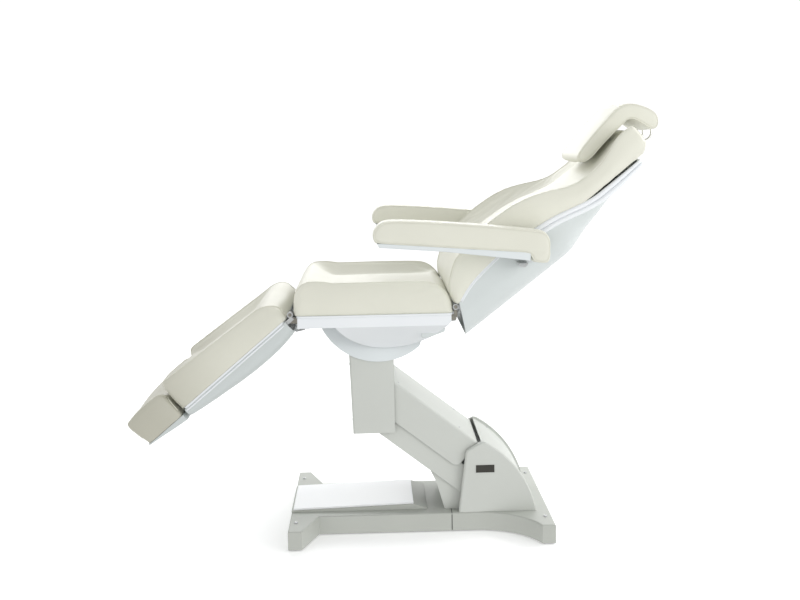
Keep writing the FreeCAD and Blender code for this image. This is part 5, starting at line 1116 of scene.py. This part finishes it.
def back_ring(share, inset=0.0, push=0.0):
    low_u = mix(BACK_HEEL, BACK_END, share)
    top_u = mix(BACK_START, BACK_END, share)
    low = BACK_KEEL(low_u) + inset
    top = BACK_SEAM(top_u) - RIM_DROP
    depth = top - low
    across = min(BACK_SIDE_ACROSS, depth * 1.1)
    rise = min(BACK_SIDE_RISE, depth * 0.75)
    section = dish_section(tapered(top_u, SHELL_HALF) - inset, low, top, across, rise)
    return [back_place.point(mix(low_u, top_u, (v - low) / depth) + push, y, v) for y, v in section]


def leg_ring(share, inset=0.0, push=0.0):
    u = mix(LEG_START, LEG_END, share)
    low = LEG_KEEL(u) + inset * 0.4
    rise = (LEG_RIM - low) * LEG_RISE_SHARE
    section = dish_section(SHELL_HALF - inset, low, LEG_RIM, LEG_SIDE_ACROSS, rise)
    return [leg_place.point(u + push, y, v) for y, v in section]


def cut_out(piece, name, forms):
    """The piece as a plain mesh with closed forms cut out of it."""
    cutter = joined(name, forms, frame_paint)
    cut = piece.modifiers.new("cut", "BOOLEAN")
    cut.operation = "DIFFERENCE"
    cut.solver = "EXACT"
    cut.object = cutter
    plain = baked(piece)
    bpy.data.objects.remove(cutter)
    return plain


def box(place, along, half, heights):
    """A box in a part's own frame."""
    corners = [(u, y, v) for u in along for y in (-half, half) for v in heights]
    faces = [(0, 1, 3, 2), (4, 6, 7, 5), (0, 4, 5, 1), (2, 3, 7, 6), (0, 2, 6, 4), (1, 5, 7, 3)]
    return [place.point(*corner) for corner in corners], faces


back_dish = sharpened(baked(dish("back_shell_dish", back_ring, dish_shaded_white)))
attach(back_dish, "back", "back_shell")
leg_openings = []
for side in SIDES:
    rail = [leg_place.point(u, side * RAIL_ACROSS, RAIL_DEPTH) for u in (0.380, 0.405, 0.450)]
    leg_openings.append(even_roll(rail, RAIL_HOLE, 24))
leg_openings.append(box(leg_place, along=(0.000, 0.100), half=0.094, heights=(-0.090, -0.015)))
leg_dish = sharpened(cut_out(dish("leg_shell_dish", leg_ring, leg_shaded_white), "leg_openings", leg_openings))
attach(leg_dish, "leg", "leg_shell")

# Rolls of trim, pillow wires and foot tray
ROLL_SIZE = through([(0.0, 0.0024), (0.19, 0.0025), (0.36, 0.0078), (0.56, 0.0078), (0.71, 0.0050)])
RIM_START = 0.024
RIM_CORNER = 0.014
RIM_PAST = 0.003
RIM_GAP = 0.0004
ROLL_SPACING = 1.9
ROLL_OUT = 0.15
WIRE_BENDS = [(0.645, 0.038), (0.745, 0.036), (0.768, 0.016), (0.778, -0.002), (0.797, -0.0085),
              (0.815, 0.000), (0.822, 0.014), (0.824, 0.032)]
WIRE_ACROSS = 0.055
WIRE_RADIUS = 0.0036
LEG_ROLL_ACROSS = 0.2998
LEG_ROLL_HEIGHT = -0.0115
LEG_ROLL_RADIUS = 0.0026
TRAY_START = 0.4425
TRAY_END = 0.584
TRAY_HALF = 0.298
TRAY_DEPTHS = (-0.0340, -0.0175)
TRAY_OVERLAP = 0.0015
TRAY_EDGE = 0.007


def back_rim(row):
    """One of the two rolls round the edge of the back, from the hinge over the top to the hinge."""
    edge = tapered(BACK_END, SHELL_HALF)
    straight_end = BACK_END - RIM_CORNER
    half_line = [(u, tapered(u, SHELL_HALF)) for u in np.linspace(RIM_START, straight_end, 80)]
    for turn in quarter(6)[1:]:
        u = straight_end + (RIM_CORNER + RIM_PAST) * math.sin(turn)
        half_line.append((u, edge - RIM_CORNER * (1 - math.cos(turn))))
    half_line += [(BACK_END + RIM_PAST, y) for y in np.linspace(edge - RIM_CORNER - 0.01, 0.0, 14)]
    line = [(u, -y) for u, y in half_line] + half_line[-2::-1]
    sizes = [ROLL_SIZE(u) for u, y in line]
    path = []
    for (u, y), size in zip(line, sizes):
        drop = size * (1.0 + ROLL_SPACING * row) + RIM_GAP
        out = math.copysign(size * ROLL_OUT, y)
        path.append(back_place.point(u, y + out, BACK_SEAM(min(u, BACK_END)) - drop))
    return roll(path, sizes)


def eased_path(points, step=0.004, rounds=12):
    """A path through points with its bends rounded off."""
    path = np.array(evenly(points, False, step))
    for _ in range(rounds):
        path[1:-1] = path[1:-1] * 0.5 + (path[:-2] + path[2:]) * 0.25
    return path


def foot_tray():
    """A thin tray that tapers to the foot end, with rounded lower edges."""
    rings = []
    for u in np.linspace(TRAY_START, TRAY_END, 24):
        share = (u - TRAY_START) / (TRAY_END - TRAY_START)
        low = mix(*TRAY_DEPTHS, ease(share) * 0.35 + share * 0.65)
        top = FOOT_FLOOR(u) + TRAY_OVERLAP
        half = TRAY_HALF - 0.010 * end_round(TRAY_END - u, reach=0.014)
        radius = min(TRAY_EDGE, (top - low) * 0.8)
        run = [((half - radius) * i / 6, low) for i in range(6)]
        for turn in quarter(6):
            run.append((half - radius * (1 - math.sin(turn)), low + radius * (1 - math.cos(turn))))
        run = run + [(half * (5 - i) / 5, top) for i in range(6)]
        section = run + [(-y, v) for y, v in reversed(run[1:-1])]
        rings.append([foot_place.point(u, y, v) for y, v in section])
    return loft_rings(rings, (0.0005, 0.002), 4)


back_rolls = joined("back_trim_rolls", [back_rim(row) for row in (0, 1)], trim_white_and_pan_light)
attach(back_rolls, "back", "back_trim")
leg_lines = []
wire_lines = []
leg_stations = np.linspace(0.034, 0.424, 40)
for side in SIDES:
    edge = [leg_place.point(u, side * LEG_ROLL_ACROSS, LEG_ROLL_HEIGHT) for u in leg_stations]
    leg_lines.append(even_roll(edge, LEG_ROLL_RADIUS))
    wire = eased_path([back_place.point(u, side * WIRE_ACROSS, v) for u, v in WIRE_BENDS])
    wire_lines.append(even_roll(wire, WIRE_RADIUS))
attach(joined("leg_trim_rolls", leg_lines, trim_white_and_pan_light), "leg")
attach(joined("pillow_bail_wires", wire_lines, bail_chrome), "pillow", "pillow_bail")
tray = sharpened(new_piece("foot_tray_moulding", *foot_tray(), leg_shaded_white))
attach(tray, "foot", "foot_tray")


# Small lips and covers across the couch, from outlines in its side plane
def across_strip(name, outline, spans, material, rounding):
    """A bar over each span, with rounded edges."""
    forms = []
    for span in spans:
        points = [(x, y, z) for y in span for x, z in outline]
        forms.append((points, capped(2, len(outline))))
    bar = joined(name, forms, material)
    edge = bar.modifiers.new("edge", "BEVEL")
    edge.width = rounding
    edge.segments = 3
    return sharpened(baked(bar))


hood_lip = [(0.2085, 0.2815), (0.1985, 0.2868), (0.1968, 0.2842), (0.2065, 0.2778)]
arm_lip = [(0.1815, 0.2860), (0.1878, 0.2818), (0.1864, 0.2792), (0.1800, 0.2815)]
knuckle = [(0.292, 0.8740), (0.298, 0.8640), (0.313, 0.8605), (0.322, 0.8680), (0.322, 0.8740)]
rear_corner = [(0.010, 0.641), (0.040, 0.646), (0.081, 0.661), (0.083, 0.692), (0.060, 0.703), (0.010, 0.703)]
for name, outline, spans, material, rounding, body, slot in (
        ("hood_front_lip", hood_lip, [(-0.1536, 0.1536)], base_shaded_white, 0.0011, "base", "shell_white"),
        ("arm_cover_lip", arm_lip, [(-0.147, 0.147)], base_shaded_white, 0.0011, "upper_arm", "shell_white"),
        ("arm_pivot_knuckles", knuckle, [(-0.350, -0.301), (0.301, 0.350)], frame_paint, 0.0025, "back",
         "frame_steel"),
        ("seat_rear_corners", rear_corner, [(-0.262, -0.168), (0.168, 0.262)], dish_shaded_white, 0.004, "seat",
         "shell_white")):
    attach(across_strip(name, outline, spans, material, rounding), body)

# Seams and screws of the moulded covers
SEAM_X = 0.101
SCREW_SINK = 0.0002
SCREW_LINE = 0.01
FAR_BELOW = -0.4
seam_bends = [(-0.175, 0.006), (-0.175, 0.059), (-0.172, 0.062), (0.172, 0.062), (0.175, 0.059),
              (0.175, 0.006)]
# A dark cord laid in the joint between the base covers, as painted shadow of the gap.
base_seam = line_object("base_seam_line", [[(SEAM_X, y, z) for y, z in seam_bends]])
attach(seam_shadow_cord.make("base_seam_shadow_cord", base_seam, Cord_radius=0.0012), "base")


def screwed(name, body, mesh, rays, size=1.0):
    """Screws where rays from outside first meet a cover, each with a dark six-sided disc on its head as
    painted shade in its socket.
    """
    surface = surface_of(mesh)
    lines = []
    for start, direction in rays:
        spot, normal, face, distance = surface.ray_cast(Vector(start), Vector(direction))
        out = normal if normal.dot(Vector(direction)) < 0 else -normal
        lines.append([tuple(spot - out * SCREW_SINK), tuple(spot + out * SCREW_LINE)])
    for tree, sizes, ending, slot in (
            (screw_heads, HEAD_SIZES, "screws", "bright_steel"),
            (screw_sockets, SOCKET_SIZES, "screw_sockets", "dark_plastic")):
        scaled = {key: value * size for key, value in sizes.items()}
        attach(tree.make(f"{name}_{ending}", line_object("screw_lines", lines), **scaled), body)


def from_below(place, spots):
    up = (place.up[0], 0.0, place.up[1])
    return [(place.point(u, side * y, FAR_BELOW), up) for u, y in spots for side in SIDES]


arm_out = Vector((0.616, 0.0, 0.788))
back_spots = [(0.03, 0.19), (0.20, 0.19), (0.36, 0.19), (0.64, 0.16)]
leg_spots = [(0.07, 0.19), (0.24, 0.19), (0.40, 0.19)]
arm_spots = [(x, side * 0.122, z) for x, z in ((-0.0598, 0.4754), (0.1310, 0.3263)) for side in SIDES]
hood_spots = [(x, side * 0.13, z) for x, z in ((0.44, 0.455), (0.545, 0.32)) for side in SIDES]
column_spots = [(-0.5, side * 0.12, z) for z in (0.36, 0.54) for side in SIDES]
foot_spots = [(x, y, 0.2) for x in (-0.3885, 0.3885) for y in (-0.232, 0.232)]
screwed("back_shell", "back", back_dish.data, from_below(back_place, back_spots))
screwed("leg_shell", "leg", leg_dish.data, from_below(leg_place, leg_spots))
screwed("arm_cover", "upper_arm", nodes["upper_arm_cover"].data,
        [(Vector(spot) + arm_out * 0.05, -arm_out) for spot in arm_spots], 0.8)
screwed("hood", "base", nodes["hood_back_cover"].data, [(spot, (-1.0, 0.0, -1.0)) for spot in hood_spots])
screwed("column", "column", nodes["column_cover"].data, [(spot, (1.0, 0.0, 0.0)) for spot in column_spots])
screwed("foot_cover", "base", nodes["cover_screws"].data,
        [(spot, (0.0, 0.0, -1.0)) for spot in foot_spots], 0.9)


# Stage, light and camera
def area_light(name, where, target, size, power):
    lamp = bpy.data.lights.new(name, "AREA")
    lamp.shape = "RECTANGLE"
    lamp.size, lamp.size_y = size
    lamp.energy = power
    item = linked(name, lamp)
    item.location = where
    item.rotation_euler = (Vector(target) - Vector(where)).to_track_quat("-Z", "Y").to_euler()


def floor(reach=30.0):
    mesh = bpy.data.meshes.new("floor")
    mesh.from_pydata([(-reach, -reach, 0), (reach, -reach, 0), (reach, reach, 0), (-reach, reach, 0)], [],
                     [(0, 1, 2, 3)])
    mesh.materials.append(floor_paint)
    item = linked("floor", mesh)
    item.visible_diffuse = False


def sky():
    """Soft light from all sides, brighter from the front, and dimmer from above the front and from below."""
    world = bpy.data.worlds.new("studio")
    world.use_nodes = True
    wiring = Wiring(world.node_tree)
    way = wiring.node("ShaderNodeTexCoord", outlet="Generated")
    across = wiring.node("ShaderNodeSeparateXYZ", None, {0: way}, "Y")
    front_top = wiring.node("ShaderNodeVectorMath", {"operation": "DOT_PRODUCT"}, {
        0: way, 1: (0.0, -0.64, 0.77)}, "Value")

    def rise(value, start, end, kind="SMOOTHSTEP"):
        return wiring.node("ShaderNodeMapRange", {"interpolation_type": kind}, {
            "Value": value, "From Min": start, "From Max": end})
    from_front = 1.34 - rise(across, -1.0, 0.35, "LINEAR") * 0.28
    from_top = 1.0 - rise(front_top, 0.55, 1.0) * 0.70
    from_floor = 0.66 + rise(across.beside("Z"), -0.6, 0.0) * 0.34
    background = world.node_tree.nodes["Background"]
    wiring.feed(background.inputs["Strength"], from_front * from_top * from_floor)
    background.inputs["Color"].default_value = (1.0, 1.0, 1.0, 1.0)
    bpy.context.scene.world = world


def camera():
    """The photograph's viewpoint: pitch is downwards, yaw towards the head end, and lean a slight roll."""
    pitch, yaw, lean = 0.14329, 0.0243, -0.01945
    focal_pixels, image_width = 1137.606, 800.0
    ahead = Vector((math.sin(yaw) * math.cos(pitch), math.cos(yaw) * math.cos(pitch), -math.sin(pitch)))
    right = Vector((math.cos(yaw), -math.sin(yaw), 0.0))
    up = right.cross(ahead)
    leaning_right = right * math.cos(lean) + up * math.sin(lean)
    leaning_up = up * math.cos(lean) - right * math.sin(lean)
    turn = Matrix((leaning_right, leaning_up, -ahead)).transposed()
    lens = bpy.data.cameras.new("viewpoint")
    lens.sensor_width = 36.0
    lens.lens = focal_pixels * lens.sensor_width / image_width
    lens.clip_end = 100.0
    item = linked("viewpoint", lens)
    item.matrix_world = Matrix.Translation((-0.13528, -3.64593, 1.24893)) @ turn.to_4x4()
    bpy.context.scene.camera = item


floor()
sky()
area_light("overhead", where=(0.3, 0.9, 3.4), target=(0.0, 0.1, 0.5), size=(2.6, 1.6), power=4.0)
area_light("from_behind", where=(0.1, 3.4, 2.0), target=(0.0, 0.0, 0.35), size=(3.2, 1.2), power=36.0)
area_light("head_side", where=(2.4, -2.6, 1.5), target=(0.3, 0.0, 0.9), size=(1.4, 1.4), power=22.0)
area_light("under_back", where=(2.6, 0.5, 1.75), target=(0.08, 0.0, 0.36), size=(1.0, 0.8), power=22.0)
bpy.context.scene.view_settings.view_transform = "Standard"
camera()
